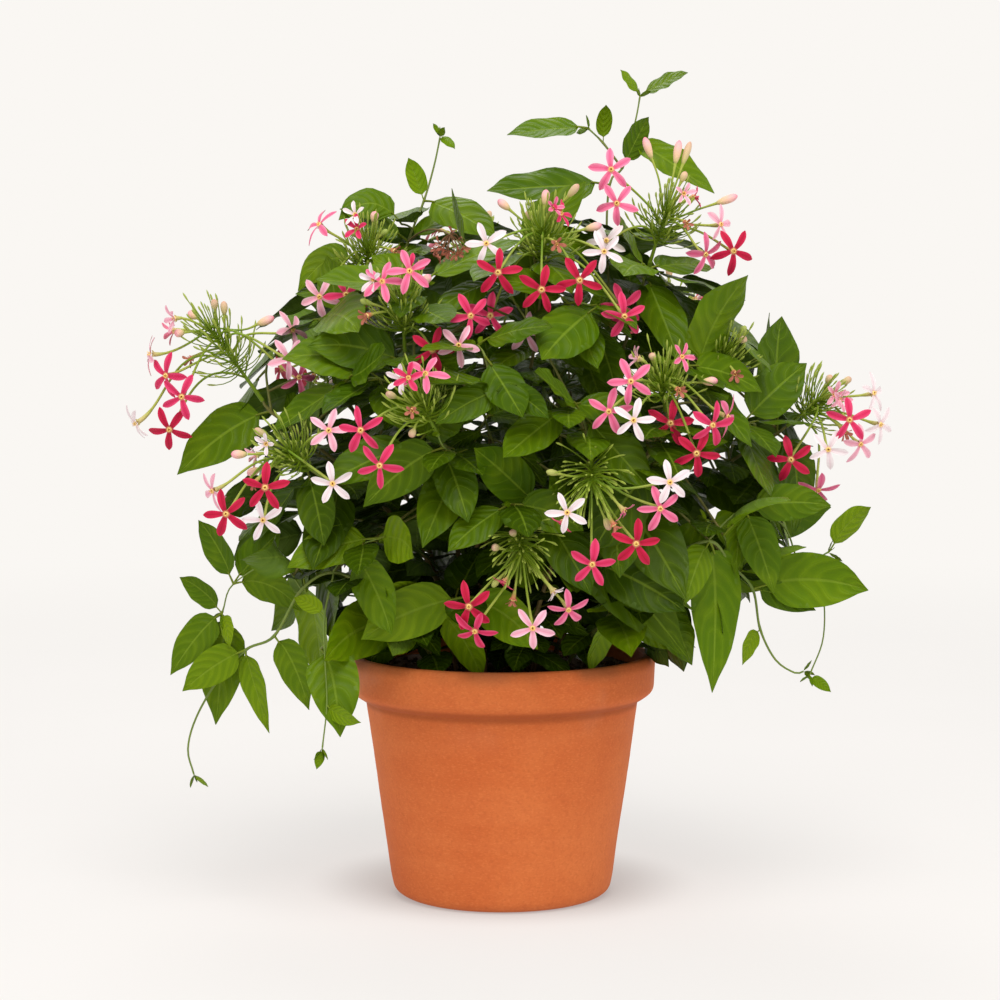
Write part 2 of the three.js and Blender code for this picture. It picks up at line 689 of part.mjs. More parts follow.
// A leaf laid by hand, from its stem to the place of its tip
function reachingLeaf(root, tip, next, strength) {
  const length = root.distanceTo(tip);
  const bend = root.clone().lerp(tip, 0.45).addScaledVector(UP, length * between(next, 0.1, 0.2));
  const aim = shifted(tip, strength, next);
  const face = outward(tip).addScaledVector(VIEWER, 0.9).addScaledVector(UP, 0.35).normalize();
  return { root, bend, tip: aim, face, breadth: length * between(next, 0.42, 0.5) };
}

// A leaf grown by rule: it leaves its stem along a heading and droops
function droopingLeaf(root, heading, length, droop, next) {
  const bend = root.clone().addScaledVector(heading, length * 0.5);
  const fall = heading.clone().addScaledVector(DOWN, droop).normalize();
  const tip = bend.clone().addScaledVector(fall, length * 0.5);
  const face = outward(root).addScaledVector(UP, between(next, 0.3, 0.9));
  face.x += between(next, -0.25, 0.25);
  face.y += between(next, -0.25, 0.25);
  return { root, bend, tip, face: face.normalize(), breadth: length * between(next, 0.42, 0.52) };
}

// Places the first of the proposed leaves that stays clear of what is there already
function growLeaf(stem, i, propose) {
  for (let attempt = 0; attempt < TRIES; attempt += 1) {
    const leaf = propose(attempt);
    const heading = leaf.bend.clone().sub(leaf.root).normalize();
    for (const { face, number, joint, along } of freeFaces(stem, i, heading).slice(0, 2)) {
      const triangles = sproutTriangles(face, leafRings(leaf, 0));
      const own = closedSprout(face, triangles);
      const fat = closedSprout(face, sproutTriangles(face, leafRings(leaf, AIR)));
      if (along > MIN_FACING && isFree(own, () => true)
        && isFree(fat, (other) => other.node !== stem.node)) {
        joint.taken.add(number);
        keep(stem.node, own);
        sprouts.push({ node: stem.node, triangles });
        return true;
      }
    }
  }
  return false;
}

// Flower: a flat star of narrow petals on the end of its tube
function starRim(centre, axis, turn, length) {
  const side = squareTo(STAR_SIDE, axis);
  const lift = new THREE.Vector3().crossVectors(axis, side);
  const rim = [];
  for (let petal = 0; petal < PETALS; petal += 1) {
    for (const { reach, swing, drop } of PETAL_OUTLINE) {
      const angle = turn + (2 * Math.PI * petal) / PETALS + swing;
      rim.push(centre.clone()
        .addScaledVector(side, length * reach * Math.cos(angle))
        .addScaledVector(lift, length * reach * Math.sin(angle))
        .addScaledVector(axis, length * drop));
    }
  }
  return rim;
}

// From a tube's last ring to the star's rim, then over the rim to its middle
function starTriangles(throat, rim, front) {
  const nearest = throat.map((point) => point.distanceTo(rim[0]));
  const start = nearest.indexOf(Math.min(...nearest));
  const throatAt = (i) => throat[(start + Math.round((i * throat.length) / rim.length)) % 3];
  return rim.flatMap((point, i) => {
    const after = rim[(i + 1) % rim.length];
    const low = throatAt(i);
    const high = throatAt(i + 1);
    const triangles = [[low, after, point], [point, after, front]];
    return low === high ? triangles : [...triangles, [low, high, after]];
  });
}

// Calyx tube from the head's stalk to the back of a bloom
function calyxCurve(root, heading, end, arrival) {
  const length = root.distanceTo(end);
  const first = root.clone().addScaledVector(heading, length * TUBE_LEAVING);
  const second = end.clone().addScaledVector(arrival, -length * TUBE_ARRIVAL);
  return new THREE.CubicBezierCurve3(root, first, second, end);
}

function ringsAlong(curve, stations, extra) {
  let side = squareTo(FIRST_SIDE, curve.getTangent(0));
  return stations.map(([along, radius]) => {
    const forward = curve.getTangent(along);
    side = squareTo(side, forward);
    return ring(curve.getPoint(along), side, forward, radius + extra, 3);
  });
}

// A place moved by up to the given distance along each axis
function shifted(place, distance, next) {
  const moved = place.clone();
  moved.x += distance * between(next, -1, 1);
  moved.y += distance * between(next, -1, 1);
  moved.z += distance * between(next, -1, 1);
  return moved;
}

function bloomShape(head, bloom, index, attempt) {
  const next = draws(head.number, index, attempt);
  const centre = shifted(vector(bloom), BLOOM_SHIFT * attempt, next);
  const away = centre.clone().sub(head.seat.clone().lerp(head.tip, 0.5)).normalize();
  const axis = away.clone().multiplyScalar(1.1 - bloom[4]).addScaledVector(VIEWER, 1.3 * bloom[4])
    .normalize();
  const share = between(next, ...BLOOM_SHARES);
  const heading = away.clone().addScaledVector(head.direction, 0.9).normalize();
  const end = centre.clone().addScaledVector(axis, -STAR_DEPTH);
  const root = head.seat.clone().lerp(head.tip, share);
  const curve = calyxCurve(root, heading, end, axis);
  const turn = between(next, 0, 1.2);
  const length = PETAL_LENGTH + PETAL_GROWTH * bloom[3];
  const stations = [[0.45, TUBE_RADIUS], [1, THROAT_RADIUS]];
  const triangles = (face, extra) => {
    const rings = ringsAlong(curve, stations, extra);
    const turnBy = bestTurn(face, rings[0]);
    const matched = rings.map((points) => turned(points, turnBy));
    const rim = starRim(centre, axis, turn, length + extra);
    const front = centre.clone().addScaledVector(axis, STAR_CROWN + extra);
    return [...sleeve([face, ...matched]), ...starTriangles(matched.at(-1), rim, front)];
  };
  return { share, heading, triangles };
}

function budShape(head, bud, index, attempt) {
  const next = draws(head.number, BUD_DRAWS + index, attempt);
  const tip = shifted(vector(bud), BLOOM_SHIFT * attempt, next);
  const share = between(next, ...BUD_SHARES);
  const root = head.seat.clone().lerp(head.tip, share);
  const away = tip.clone().sub(root).normalize();
  const heading = away.clone().addScaledVector(head.direction, 0.35).normalize();
  const curve = calyxCurve(root, heading, tip, away);
  const radius = BUD_RADIUS + BUD_GROWTH * bud[3];
  const stations = [[0.4, TUBE_RADIUS], [0.74, TUBE_RADIUS], [0.88, radius]];
  const triangles = (face, extra) => sproutTriangles(face, [
    ...ringsAlong(curve, stations, extra),
    [tip.clone().addScaledVector(away, extra)],
  ]);
  return { share, heading, triangles };
}

// A short unopened tube near the top of the head
function needleShape(head, index, attempt) {
  const next = draws(head.number, NEEDLE_DRAWS + index, attempt);
  const turn = GOLDEN_TURN * index + between(next, -0.4, 0.4);
  const rise = between(next, -0.3, 0.95);
  const spread = Math.sqrt(1 - rise * rise);
  const side = squareTo(FIRST_SIDE, head.direction);
  const lift = new THREE.Vector3().crossVectors(head.direction, side);
  const heading = side.clone().multiplyScalar(spread * Math.cos(turn))
    .addScaledVector(lift, spread * Math.sin(turn))
    .addScaledVector(head.direction, rise)
    .normalize();
  const share = between(next, ...NEEDLE_SHARES);
  const root = head.seat.clone().lerp(head.tip, share);
  const tip = root.clone().addScaledVector(heading, between(next, ...NEEDLE_LENGTHS));
  const curve = new THREE.LineCurve3(root, tip);
  const triangles = (face, extra) => sproutTriangles(face, [
    ...ringsAlong(curve, [[0.84, TUBE_RADIUS * 1.3]], extra),
    [tip.clone().addScaledVector(heading, extra)],
  ]);
  return { share, heading, triangles };
}

// Stalk of a head: rings all along it, with a face for each tube
function growHead(head) {
  const start = head.seat.clone().addScaledVector(head.direction, CLEARANCE);
  const count = Math.min(STALK_JOINTS, Math.floor(start.distanceTo(head.tip) / STALK_STEP));
  const axis = Array.from({ length: count + 1 },
    (unused, i) => start.clone().lerp(head.tip, i / count));
  const stem = makeStem({ node: head.name, axis, radii: STALK_RADII, sides: 3 });
  head.blooms.forEach((bloom, i) => growTube(stem, (attempt) => bloomShape(head, bloom, i, attempt)));
  head.buds.forEach((bud, i) => growTube(stem, (attempt) => budShape(head, bud, i, attempt)));
  for (let i = 0; i < NEEDLES; i += 1) {
    growTube(stem, (attempt) => needleShape(head, i, attempt));
  }
  return stem;
}

function growTube(stem, propose) {
  for (let attempt = 0; attempt < TRIES; attempt += 1) {
    const { share, heading, triangles } = propose(attempt);
    const faces = [-1, 0, 1]
      .map((step) => Math.round(share * (stem.axis.length - 1)) + step)
      .filter((i) => i > 0 && i < stem.axis.length)
      .flatMap((i) => freeFaces(stem, i, heading))
      .filter(({ along }) => along > MIN_FACING)
      .sort((a, b) => b.along - a.along)
      .slice(0, 3);
    for (const { face, number, joint } of faces) {
      const own = closedSprout(face, triangles(face, 0));
      const fat = closedSprout(face, triangles(face, AIR));
      if (isFree(own, () => true) && isFree(fat, (other) => other.node !== stem.node)) {
        joint.taken.add(number);
        keep(stem.node, own);
        sprouts.push({ node: stem.node, triangles: triangles(face, 0) });
        return;
      }
    }
  }
}

// A place on the bush's round, evenly spread
function roundPlace(index) {
  const rise = TWIG_FROM + ((TWIG_TO - TWIG_FROM) * (index + 0.5)) / TWIG_ENDS;
  const spread = Math.sqrt(1 - rise * rise);
  const turn = GOLDEN_TURN * index;
  const place = new THREE.Vector3(spread * Math.cos(turn), spread * Math.sin(turn), rise);
  return place.multiply(ROUND_RADII).add(ROUND_CENTRE);
}

// Joints of the canes that a twig may leave from, the nearest to its end first
function twigStarts(end) {
  const starts = [];
  stems.forEach((stem) => stem.axis.forEach((point, i) => {
    if (i > 1 && i < stem.axis.length - 1 && point.z > SOIL_TOP + FIRST_TWIG_HEIGHT) {
      const climb = end.z - point.z;
      const cost = point.distanceTo(end) + (climb < LOW_CLIMB ? LOW_COST + FALL_COST * Math.abs(climb) : 0);
      starts.push({ stem, i, point, cost });
    }
  }));
  return starts.sort((a, b) => a.cost - b.cost);
}

function growTwig(index) {
  const end = roundPlace(index);
  for (const { stem, i, point } of twigStarts(end).slice(0, TRIES)) {
    const middle = point.clone().lerp(end, 0.5)
      .addScaledVector(outward(end), TWIG_BOW)
      .addScaledVector(UP, TWIG_RISE);
    const axis = smoothAxis([point, middle, end], STEM_STEP);
    const faces = freeFaces(stem, i, headingOf(axis));
    if (faces[0]?.along > MIN_FACING && twigIsFree(stem.node, axis, faces[0].face)) {
      twigs.push({ index, stem: sproutStem(stem, i, axis) });
      return;
    }
  }
}

function twigIsFree(node, axis, face) {
  const radii = TWIG_RADII.map((radius) => radius + 2 * AIR);
  const fat = shapeStem({ node, axis, radii, sides: 3, base: face });
  return isFree(solidFrom(stemTriangles(fat, true)), () => true);
}

// Opposite pairs of leaves at the end of a twig and half way along it
function growTwigLeaves({ stem, index }) {
  const last = stem.axis.length - 1;
  const normal = outward(stem.axis[last]);
  const across = squareTo(new THREE.Vector3(normal.y, -normal.x, 0.001), normal);
  const below = new THREE.Vector3().crossVectors(normal, across);
  [last, Math.max(1, Math.round(0.5 * last))].forEach((i, pair) => {
    for (let half = 0; half < 2; half += 1) {
      growLeaf(stem, i, (attempt) => {
        const next = draws(TWIG_DRAWS + index, 2 * pair + half, attempt);
        const turn = Math.PI * (0.5 * pair + half + 0.12) + between(next, -0.6, 0.6);
        const heading = normal.clone().multiplyScalar(between(next, 0.2, 0.6))
          .addScaledVector(across, 0.9 * Math.cos(turn))
          .addScaledVector(below, 0.9 * Math.sin(turn))
          .normalize();
        const length = between(next, ...TWIG_LEAF_LENGTHS) * (attempt > TRIES / 2 ? LATE_SHRINK : 1);
        return droopingLeaf(stem.axis[i], heading, length, between(next, 0.2, 1), next);
      });
    }
  });
}

// Low pairs of leaves on a cane, which lean out over the pot's rim
function growSkirtLeaves(stem, number) {
  for (const i of SKIRT_JOINTS) {
    for (let half = 0; half < 2; half += 1) {
      growLeaf(stem, i, (attempt) => {
        const next = draws(SKIRT_DRAWS + number, 2 * i + half, attempt);
        const { x, y } = stem.axis[i];
        const turn = Math.atan2(y, x) + (half - 0.5) * SKIRT_SPREAD + between(next, -0.5, 0.5);
        const heading = new THREE.Vector3(Math.cos(turn), Math.sin(turn), between(next, 0, 0.6));
        const length = between(next, ...SKIRT_LEAF_LENGTHS) * (attempt > TRIES / 2 ? LATE_SHRINK : 1);
        const droop = between(next, 0.2, 0.9);
        return droopingLeaf(stem.axis[i], heading.normalize(), length, droop, next);
      });
    }
  }
}

function growSetLeaves(cane, stemList, number) {
  cane.leaves.forEach(([from, to], index) => {
    nearestJoints(stemList, vector(from)).slice(0, 3).some(({ stem, i }, choice) => (
      growLeaf(stem, i, (attempt) => {
        const next = draws(SET_DRAWS + number, 3 * index + choice, attempt);
        return reachingLeaf(stem.axis[i], vector(to), next, BLOOM_SHIFT * attempt);
      })
    ));
  });
}

// Growth: what comes later gives way to what is there already
const sprouts = [];
const twigs = [];
const pot = potSolid();
const soil = soilSolid();
keep('pot', pot);
keep('soil', soil);
const stemLists = CANES.map((cane) => {
  const trunk = { node: cane.name, axis: caneAxis(cane), radii: CANE_RADII, sides: CANE_SIDES };
  const stemList = [makeStem(trunk)];
  cane.branches.forEach((branch) => stemList.push(growBranch(branch, stemList)));
  return stemList;
});
const stems = stemLists.flat();
const heads = HEADS.map((head, number) => ({ ...head, number, ...headNamed(head.name) }));
const stalks = heads.map(growHead);
CANES.forEach((cane, number) => growSetLeaves(cane, stemLists[number], number));
for (let index = 0; index < TWIG_ENDS; index += 1) {
  growTwig(index);
}
twigs.forEach(growTwigLeaves);
stemLists.forEach((stemList, number) => growSkirtLeaves(stemList[0], number));
const allStems = [...stems, ...stalks, ...twigs.map(({ stem }) => stem)];

// The whole plant in its pot
const plant = new THREE.Group();
plant.add(meshOf('pot', pot, COLOURS.clay, 0.8));
plant.add(meshOf('soil', soil, COLOURS.soil, 0.95));
for (const name of [...CANES.map((cane) => cane.name), ...HEADS.map((head) => head.name)]) {
  const triangles = [
    ...allStems.filter((stem) => stem.node === name).flatMap((stem) => stemTriangles(stem, false)),
    ...sprouts.filter((sprout) => sprout.node === name).flatMap((sprout) => sprout.triangles),
  ];
  const colour = name.startsWith('cane') ? COLOURS.leaf : COLOURS.flower;
  plant.add(meshOf(name, solidFrom(triangles), colour, 0.5));
}

export default plant;
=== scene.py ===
# Looks of the potted rangoon creeper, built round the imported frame.
# Metres, +Z up, +X to the right, the viewer on the -Y side.
import math
import random
from collections import namedtuple

import bmesh
import bpy
import numpy as np
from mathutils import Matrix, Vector, noise
from numpy.linalg import norm


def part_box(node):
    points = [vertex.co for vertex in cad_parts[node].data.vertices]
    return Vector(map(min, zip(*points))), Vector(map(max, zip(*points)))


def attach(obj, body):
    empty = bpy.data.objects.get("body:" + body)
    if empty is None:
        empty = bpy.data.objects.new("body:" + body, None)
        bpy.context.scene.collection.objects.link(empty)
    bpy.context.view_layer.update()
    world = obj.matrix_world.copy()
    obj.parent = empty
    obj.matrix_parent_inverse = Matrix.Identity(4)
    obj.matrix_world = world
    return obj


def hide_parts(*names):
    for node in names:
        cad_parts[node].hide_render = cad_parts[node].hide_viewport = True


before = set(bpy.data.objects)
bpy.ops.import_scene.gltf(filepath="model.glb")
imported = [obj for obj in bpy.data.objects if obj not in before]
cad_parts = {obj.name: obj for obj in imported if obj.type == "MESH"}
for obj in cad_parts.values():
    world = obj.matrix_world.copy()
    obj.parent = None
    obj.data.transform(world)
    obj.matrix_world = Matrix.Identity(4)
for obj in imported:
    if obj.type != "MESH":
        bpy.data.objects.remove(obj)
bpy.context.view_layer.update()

POT_RIM, _, POT_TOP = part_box("pot")[1]
SOIL_RADIUS, _, SOIL_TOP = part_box("soil")[1]
MM = 0.001
TURN = 2 * math.pi
GOLDEN_TURN = 2.39996
UP = np.array([0.0, 0.0, 1.0])
FIRST_SIDE = np.array([0.94, 0.34, 0.02])

# How the frame's solids are made: leaf stations along the midrib, the size of a star and a bud.
# A bud is found with more rings than a needle.
MERGE = 0.02 * MM
LEAF_STATIONS = (0.36, 0.7)
FIRST_SHARE = 0.97
PETAL_LENGTH = 17 * MM
PETAL_GROWTH = 0.6 * MM
STAR_CROWN = 0.7 * MM
BUD_RADIUS = 2.1 * MM
BUD_GROWTH = 0.45 * MM
BUD_SIZES = 3
BUD_RINGS = 5
JOINT_WIDTH = 4 * MM
PETALS = 5

# Pot: where the visible collar ends below, and how far out a low leaf may still hang inside the rim
COLLAR_FOOT = POT_TOP - 38 * MM
POT_MOUTH = SOIL_RADIUS - 4 * MM

# Leaves: half width along the blade, as shares of half the breadth, and the rows and columns of a blade
BLADE_START = 0.13
BLADE_OUTLINE = ((0, 0.03), (0.03, 0.36), (0.09, 0.66), (0.19, 0.9), (0.33, 1.0), (0.48, 1.0),
                 (0.63, 0.9), (0.76, 0.7), (0.86, 0.44), (0.93, 0.2), (0.97, 0.08), (1, 0.01))
BLADE_GRID = (14, 7)
INNER_GRID = (9, 5)
LEAFLET_GRID = (8, 5)
BLADE_THICKNESS = 0.4 * MM
PETIOLE_RADII = (1.15 * MM, 0.8 * MM)

# Petals: half width along the petal, as shares of its length
PETAL_OUTLINE = ((0, 0.08), (0.15, 0.11), (0.35, 0.15), (0.6, 0.174), (0.8, 0.15), (0.92, 0.09), (1, 0.018))
PETAL_ROWS = 10
PETAL_COLUMNS = 5
PETAL_THICKNESS = 0.4 * MM
EYE_RADIUS = 1.9 * MM

# Kinds of petal surface, and the age of the oldest flower
OPEN, EYE, BUD, WITHERED = range(4)
OLDEST = 4

# What is added to each head and cane: how many, and how long in mm
NEEDLES = 84
NEEDLE_LENGTHS = (17, 38)
SIDE_BLOOMS = 3
INNER_LEAVES = 50
INNER_LENGTHS = (42, 68)
SKIRT_LEAVES = 12
SKIRT_LENGTHS = (34, 54)
INNER_TWIGS = 3
TWIG_LEAF_LENGTHS = (38, 64)
TWIG_HEIGHTS = (0.27, 0.46)
CLODS = 520
ROOT_REACH = 9 * MM
CLEARANCE = 7 * MM
CORE_CENTRE = np.array([0.01, 0.0, 0.36])
CORE_RADII = np.array([0.2, 0.16, 0.21])

# How young the leaves look by height, which also darkens the low leaves with painted shade, and the wood of
# a cane and its twigs and how slim they are
YOUNG_AND_SHADE_BY_HEIGHT = ((0.22, 0.52), (0, 0.46))
INNER_YOUNG_AND_SHADE_BY_HEIGHT = ((0.28, 0.48), (0, 0.4))
PLAIN_CANE = (0.95, 0.5, 0.8)
TRAILING_CANE = (0.35, 0.1, 0.55)

# Light: the glow of the stage near the pot, its painted shadow under the foot where the glow is dimmed,
# the distances between which it turns into the backdrop, and the glow of the sky
GLOW_NEAR = 0.53
PAINTED_SHADOW_CENTRE = (0, 0.035, 0)
PAINTED_SHADOW_REACH = (0.085, 0.17)
PAINTED_SHADOW_DEPTH = 0.22
FAR_REACH = (0.9, 2.8)
BACKDROP = (250, 247, 243)
SKY = 0.4
LAMP_COLOUR = (1, 0.985, 0.965)
LAMP_AIM = (0, 0, 0.3)

# Camera
CAMERA_PLACE = (-0.0016, -2.253, 0.502)
CAMERA_PITCH = math.radians(90 - 4.55)
CAMERA_LENS = 100


def srgb(red, green, blue):
    """A colour that was read on the 0 to 255 scale, as linear light"""
    shares = np.array([red, green, blue]) / 255
    linear = np.where(shares <= 0.04045, shares / 12.92, ((shares + 0.055) / 1.055) ** 2.4)
    return (*linear.tolist(), 1.0)


def unit(vector):
    return np.asarray(vector) / norm(vector)


def square_to(direction, forward):
    """Part of a direction that is square to another, at unit length"""
    return unit(direction - np.dot(direction, forward) * forward)


def around(axis, angle):
    """Direction square to an axis, at an angle round it"""
    side = square_to(FIRST_SIDE, axis)
    return math.cos(angle) * side + math.sin(angle) * np.cross(axis, side)


def spokes(side, lift, corners):
    """Directions all round, for one pair of sides or for each of many"""
    angles = (TURN * np.arange(corners) / corners)[:, None]
    return np.cos(angles) * side[..., None, :] + np.sin(angles) * lift[..., None, :]


def stacked(*values):
    """Values side by side in a last dimension; each is one number, or many"""
    return np.stack(np.broadcast_arrays(*values), axis=-1)


def by_ring(*values):
    """Three numbers for each ring of a loft"""
    return stacked(*values)[:, None]


def shaped(outline, shares):
    """A smooth curve through a few (share, value) points"""
    known = np.array(outline)
    slopes = np.gradient(known[:, 1], known[:, 0])
    index = np.clip(np.searchsorted(known[:, 0], shares, side="right") - 1, 0, len(known) - 2)
    width = known[index + 1, 0] - known[index, 0]
    t = (shares - known[index, 0]) / width
    start, end = known[index, 1], known[index + 1, 1]
    bent = (2 * t**3 - 3 * t**2 + 1) * start + (t**3 - 2 * t**2 + t) * width * slopes[index]
    return np.maximum(bent + (3 * t**2 - 2 * t**3) * end + (t**3 - t**2) * width * slopes[index + 1], 0)


# Reading the frame: what grows is found again from the corners of each node's mesh
Leaf = namedtuple("Leaf", "root bend tip face breadth")
Star = namedtuple("Star", "centre axis petals age line")


def corner_graph(node):
    """Places of a node's corners, and for each corner those that it shares an edge with"""
    mesh = bmesh.new()
    mesh.from_mesh(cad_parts[node].data)
    bmesh.ops.remove_doubles(mesh, verts=mesh.verts, dist=MERGE)
    mesh.verts.index_update()
    places = np.array([corner.co for corner in mesh.verts])
    links = [{edge.other_vert(corner).index for edge in corner.link_edges} for corner in mesh.verts]
    mesh.free()
    return places, links


def walk(start, links, gone, size=3):
    """Rings of corners from the end of what grew down to the face that it grew from"""
    rings = [list(start)]
    seen = set(start) | gone
    beyond = set().union(*(links[corner] for corner in start)) - seen
    while len(beyond) == size:
        rings.append(list(beyond))
        seen |= beyond
        beyond = set().union(*(links[corner] for corner in rings[-1])) - seen
    return rings, beyond


def is_even(places, ring):
    sides = [norm(places[ring[i]] - places[ring[i - 1]]) for i in range(len(ring))]
    return max(sides) < 1.03 * min(sides)


def end_rings(links, gone):
    """Three-sided stem ends: three corners that share edges and have two more below each"""
    free = {i: links[i] - gone for i in range(len(links)) if i not in gone}
    ends = []
    for a, near in free.items():
        if len(near) != 4:
            continue
        for b in near:
            for c in near & free[b]:
                if a < b < c and len(free[b]) == 4 and len(free[c]) == 4:
                    ends.append([a, b, c])
    return ends


def stem_of(places, rings):
    """Middle line and radii of a stem, from its base to its end"""
    centres = [places[ring].mean(0) for ring in rings]
    radii = [norm(places[ring] - centre, axis=1).mean() for ring, centre in zip(rings, centres)]
    line, sizes, joints = [centres[0]], [radii[0]], []
    for centre, radius in zip(centres[1:], radii[1:]):
        if norm(centre - line[-1]) < JOINT_WIDTH:
            line[-1] = (line[-1] + centre) / 2
            joints.append(line[-1])
        else:
            line.append(centre)
            sizes.append(radius)
    return {"line": np.array(line[::-1]), "radii": np.array(sizes[::-1]), "joints": joints}


def read_leaf(places, rings):
    """Midrib curve, facing and breadth of a leaf, from its last two blade rings and its tip"""
    tip = places[rings[0][0]]
    middles, lifts, widths = [], [], []
    for ring in (rings[2], rings[1]):
        corners = places[ring]
        gaps = [norm(corners[(i + 1) % 3] - corners[(i + 2) % 3]) for i in range(3)]
        keel = int(np.argmax(gaps))
        edges = [corners[i] for i in range(3) if i != keel]
        middles.append((edges[0] + edges[1]) / 2)
        lifts.append(unit(middles[-1] - corners[keel]))
        widths.append(max(gaps))
    rows = [[(1 - t) ** 2, 2 * t * (1 - t)] for t in LEAF_STATIONS]
    known = [middle - t * t * tip for middle, t in zip(middles, LEAF_STATIONS)]
    root, bend = np.linalg.solve(np.array(rows), np.array(known))
    return Leaf(root, bend, tip, unit(lifts[0] + lifts[1]), widths[0] / FIRST_SHARE)


def read_star(places, rim, rings, front):
    """Middle, axis, petal directions and age of an open flower, and the line of its tube"""
    centre = places[front]
    corners = places[rim]
    reach = norm(corners - centre, axis=1)
    tips = corners[np.argsort(reach)[-PETALS:]]
    throat = places[rings[1]].mean(0)
    axis = unit(centre - throat)
    centre = centre - axis * STAR_CROWN
    tips = [square_to(tip - centre, axis) * norm(tip - centre) for tip in tips]
    side = unit(tips[0])
    lift = np.cross(axis, side)
    tips.sort(key=lambda tip: math.atan2(np.dot(tip, lift), np.dot(tip, side)))
    age = round((np.mean([norm(tip) for tip in tips]) - PETAL_LENGTH) / PETAL_GROWTH)
    return Star(centre, axis, tips, age, [places[ring].mean(0) for ring in rings[:0:-1]])


def read_node(node):
    """Stems, leaves, stars, buds and needles of a cane or a flower head"""
    places, links = corner_graph(node)
    found = {"stems": [], "leaves": [], "stars": [], "buds": []}
    gone = set()
    tips = [i for i, near in enumerate(links) if len(near) == 3]
    fronts = [i for i, near in enumerate(links) if len(near) == 4 * PETALS]
    for tip in tips:
        rings, _ = walk([tip], links, set())
        if node.startswith("cane"):
            found["leaves"].append(read_leaf(places, rings))
        else:
            found["buds"].append([places[ring] for ring in rings[::-1]])
        gone.update(*rings[:-1])
    for front in fronts:
        rim = sorted(links[front])
        rings, _ = walk(rim, links, {front})
        found["stars"].append(read_star(places, rim, rings, front))
        gone.update([front], *rings[:-1])
    waiting = end_rings(links, gone)
    while waiting:
        before = len(waiting)
        for end in list(waiting):
            if end[0] in gone:
                waiting.remove(end)
                continue
            rings, beyond = walk(end, links, gone)
            if beyond and is_even(places, rings[-1]):
                continue
            found["stems"].append(stem_of(places, rings))
            gone.update(*(rings[:-1] if beyond else rings))
            waiting.remove(end)
        if len(waiting) == before:
            raise RuntimeError(f"{node}: some stems can't be followed down to their base")
    if node.startswith("cane"):
        low = sorted((i for i in range(len(links)) if i not in gone), key=lambda i: places[i][2])[:4]
        rings, _ = walk(low, links, gone, 4)
        stem = stem_of(places, rings[::-1])
        if norm(stem["line"][0][:2]) > norm(stem["line"][-1][:2]):
            stem["line"], stem["radii"] = stem["line"][::-1], stem["radii"][::-1]
        found["stems"].insert(0, stem)
    return found


GROWN = {node: read_node(node) for node in sorted(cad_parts) if node not in ("pot", "soil")}


# Shapes: everything is a closed loft of rings, gathered into one mesh for each piece
class Gathered:
    """Lofts for one piece, with three marks and three tones at each corner for its material"""

    def __init__(self):
        self.places, self.marks, self.tones, self.faces = [], [], [], []
        self.count = 0

    def loft(self, rings, mark=(0, 0, 0), tone=(0, 0, 0)):
        rows, corners, _ = rings.shape
        first = self.count + np.arange(rows * corners).reshape(rows, corners)
        after = np.roll(first, -1, axis=1)
        quads = np.stack([first[:-1], after[:-1], after[1:], first[1:]], axis=-1)
        self.faces.extend(quads.reshape(-1, 4).tolist())
        self.faces.append(first[0][::-1].tolist())
        self.faces.append(first[-1].tolist())
        self.places.append(rings.reshape(-1, 3))
        self.marks.append(np.broadcast_to(mark, rings.shape).reshape(-1, 3))
        self.tones.append(np.broadcast_to(tone, rings.shape).reshape(-1, 3))
        self.count += rows * corners

    def blade(self, line, face, half, height, thickness, kind, *tone):
        """A thin blade along a line. Its marks are across from -1 to 1, along from 0 to 1, and the kind;
        its last tone is 0 on the upper side and 1 on the lower side"""
        rows, columns = height.shape
        forward = headings(line)
        lifts = face - (forward @ face)[:, None] * forward
        lifts = lifts / norm(lifts, axis=1)[:, None]
        sides = np.cross(lifts, forward)
        across = np.linspace(-1, 1, columns)
        upper = line[:, None] + (half[:, None] * across)[..., None] * sides[:, None]
        upper = upper + height[..., None] * lifts[:, None]
        lower = upper - thickness[..., None] * lifts[:, None]
        rings = np.concatenate([upper[:, ::-1], lower[:, 1:-1]], axis=1)
        across = np.concatenate([across[::-1], across[1:-1]])
        under = np.repeat((0.0, 1.0), (columns, columns - 2))
        self.loft(rings, stacked(across, np.linspace(0, 1, rows)[:, None], kind), stacked(*tone, under))

    def piece(self, name, material, slot, *nodes, sharp=70):
        mesh = bpy.data.meshes.new(name)
        mesh.from_pydata(np.concatenate(self.places).tolist(), [], self.faces)
        for label, values in (("mark", self.marks), ("tone", self.tones)):
            attribute = mesh.attributes.new(label, "FLOAT_VECTOR", "POINT")
            attribute.data.foreach_set("vector", np.concatenate(values).astype(np.float32).ravel())
        mesh.shade_smooth()
        mesh.set_sharp_from_angle(angle=math.radians(sharp))
        mesh.materials.append(material)
        piece = placed(name, mesh)
        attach(piece, "root")
        if nodes:
            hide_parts(*nodes)


def placed(name, data):
    """A new object in the scene that holds a mesh, a light or a camera"""
    made = bpy.data.objects.new(name, data)
    bpy.context.scene.collection.objects.link(made)
    return made


def bezier(controls, shares):
    points = [np.tile(control, (len(shares), 1)) for control in controls]
    t = shares[:, None]
    while len(points) > 1:
        points = [a + t * (b - a) for a, b in zip(points, points[1:])]
    return points[0]


def smooth(points, step):
    """A Catmull-Rom line through some points; columns past the third, such as radii, go along"""
    padded = np.vstack([2 * points[0] - points[1], points, 2 * points[-1] - points[-2]])
    parts = []
    for before, start, end, after in zip(padded, padded[1:], padded[2:], padded[3:]):
        count = max(1, round(norm((end - start)[:3]) / step))
        t = (np.arange(count) / count)[:, None]
        parts.append(0.5 * (2 * start + (end - before) * t
                            + (2 * before - 5 * start + 4 * end - after) * t**2
                            + (3 * start - before - 3 * end + after) * t**3))
    return np.vstack([*parts, points[-1:]])


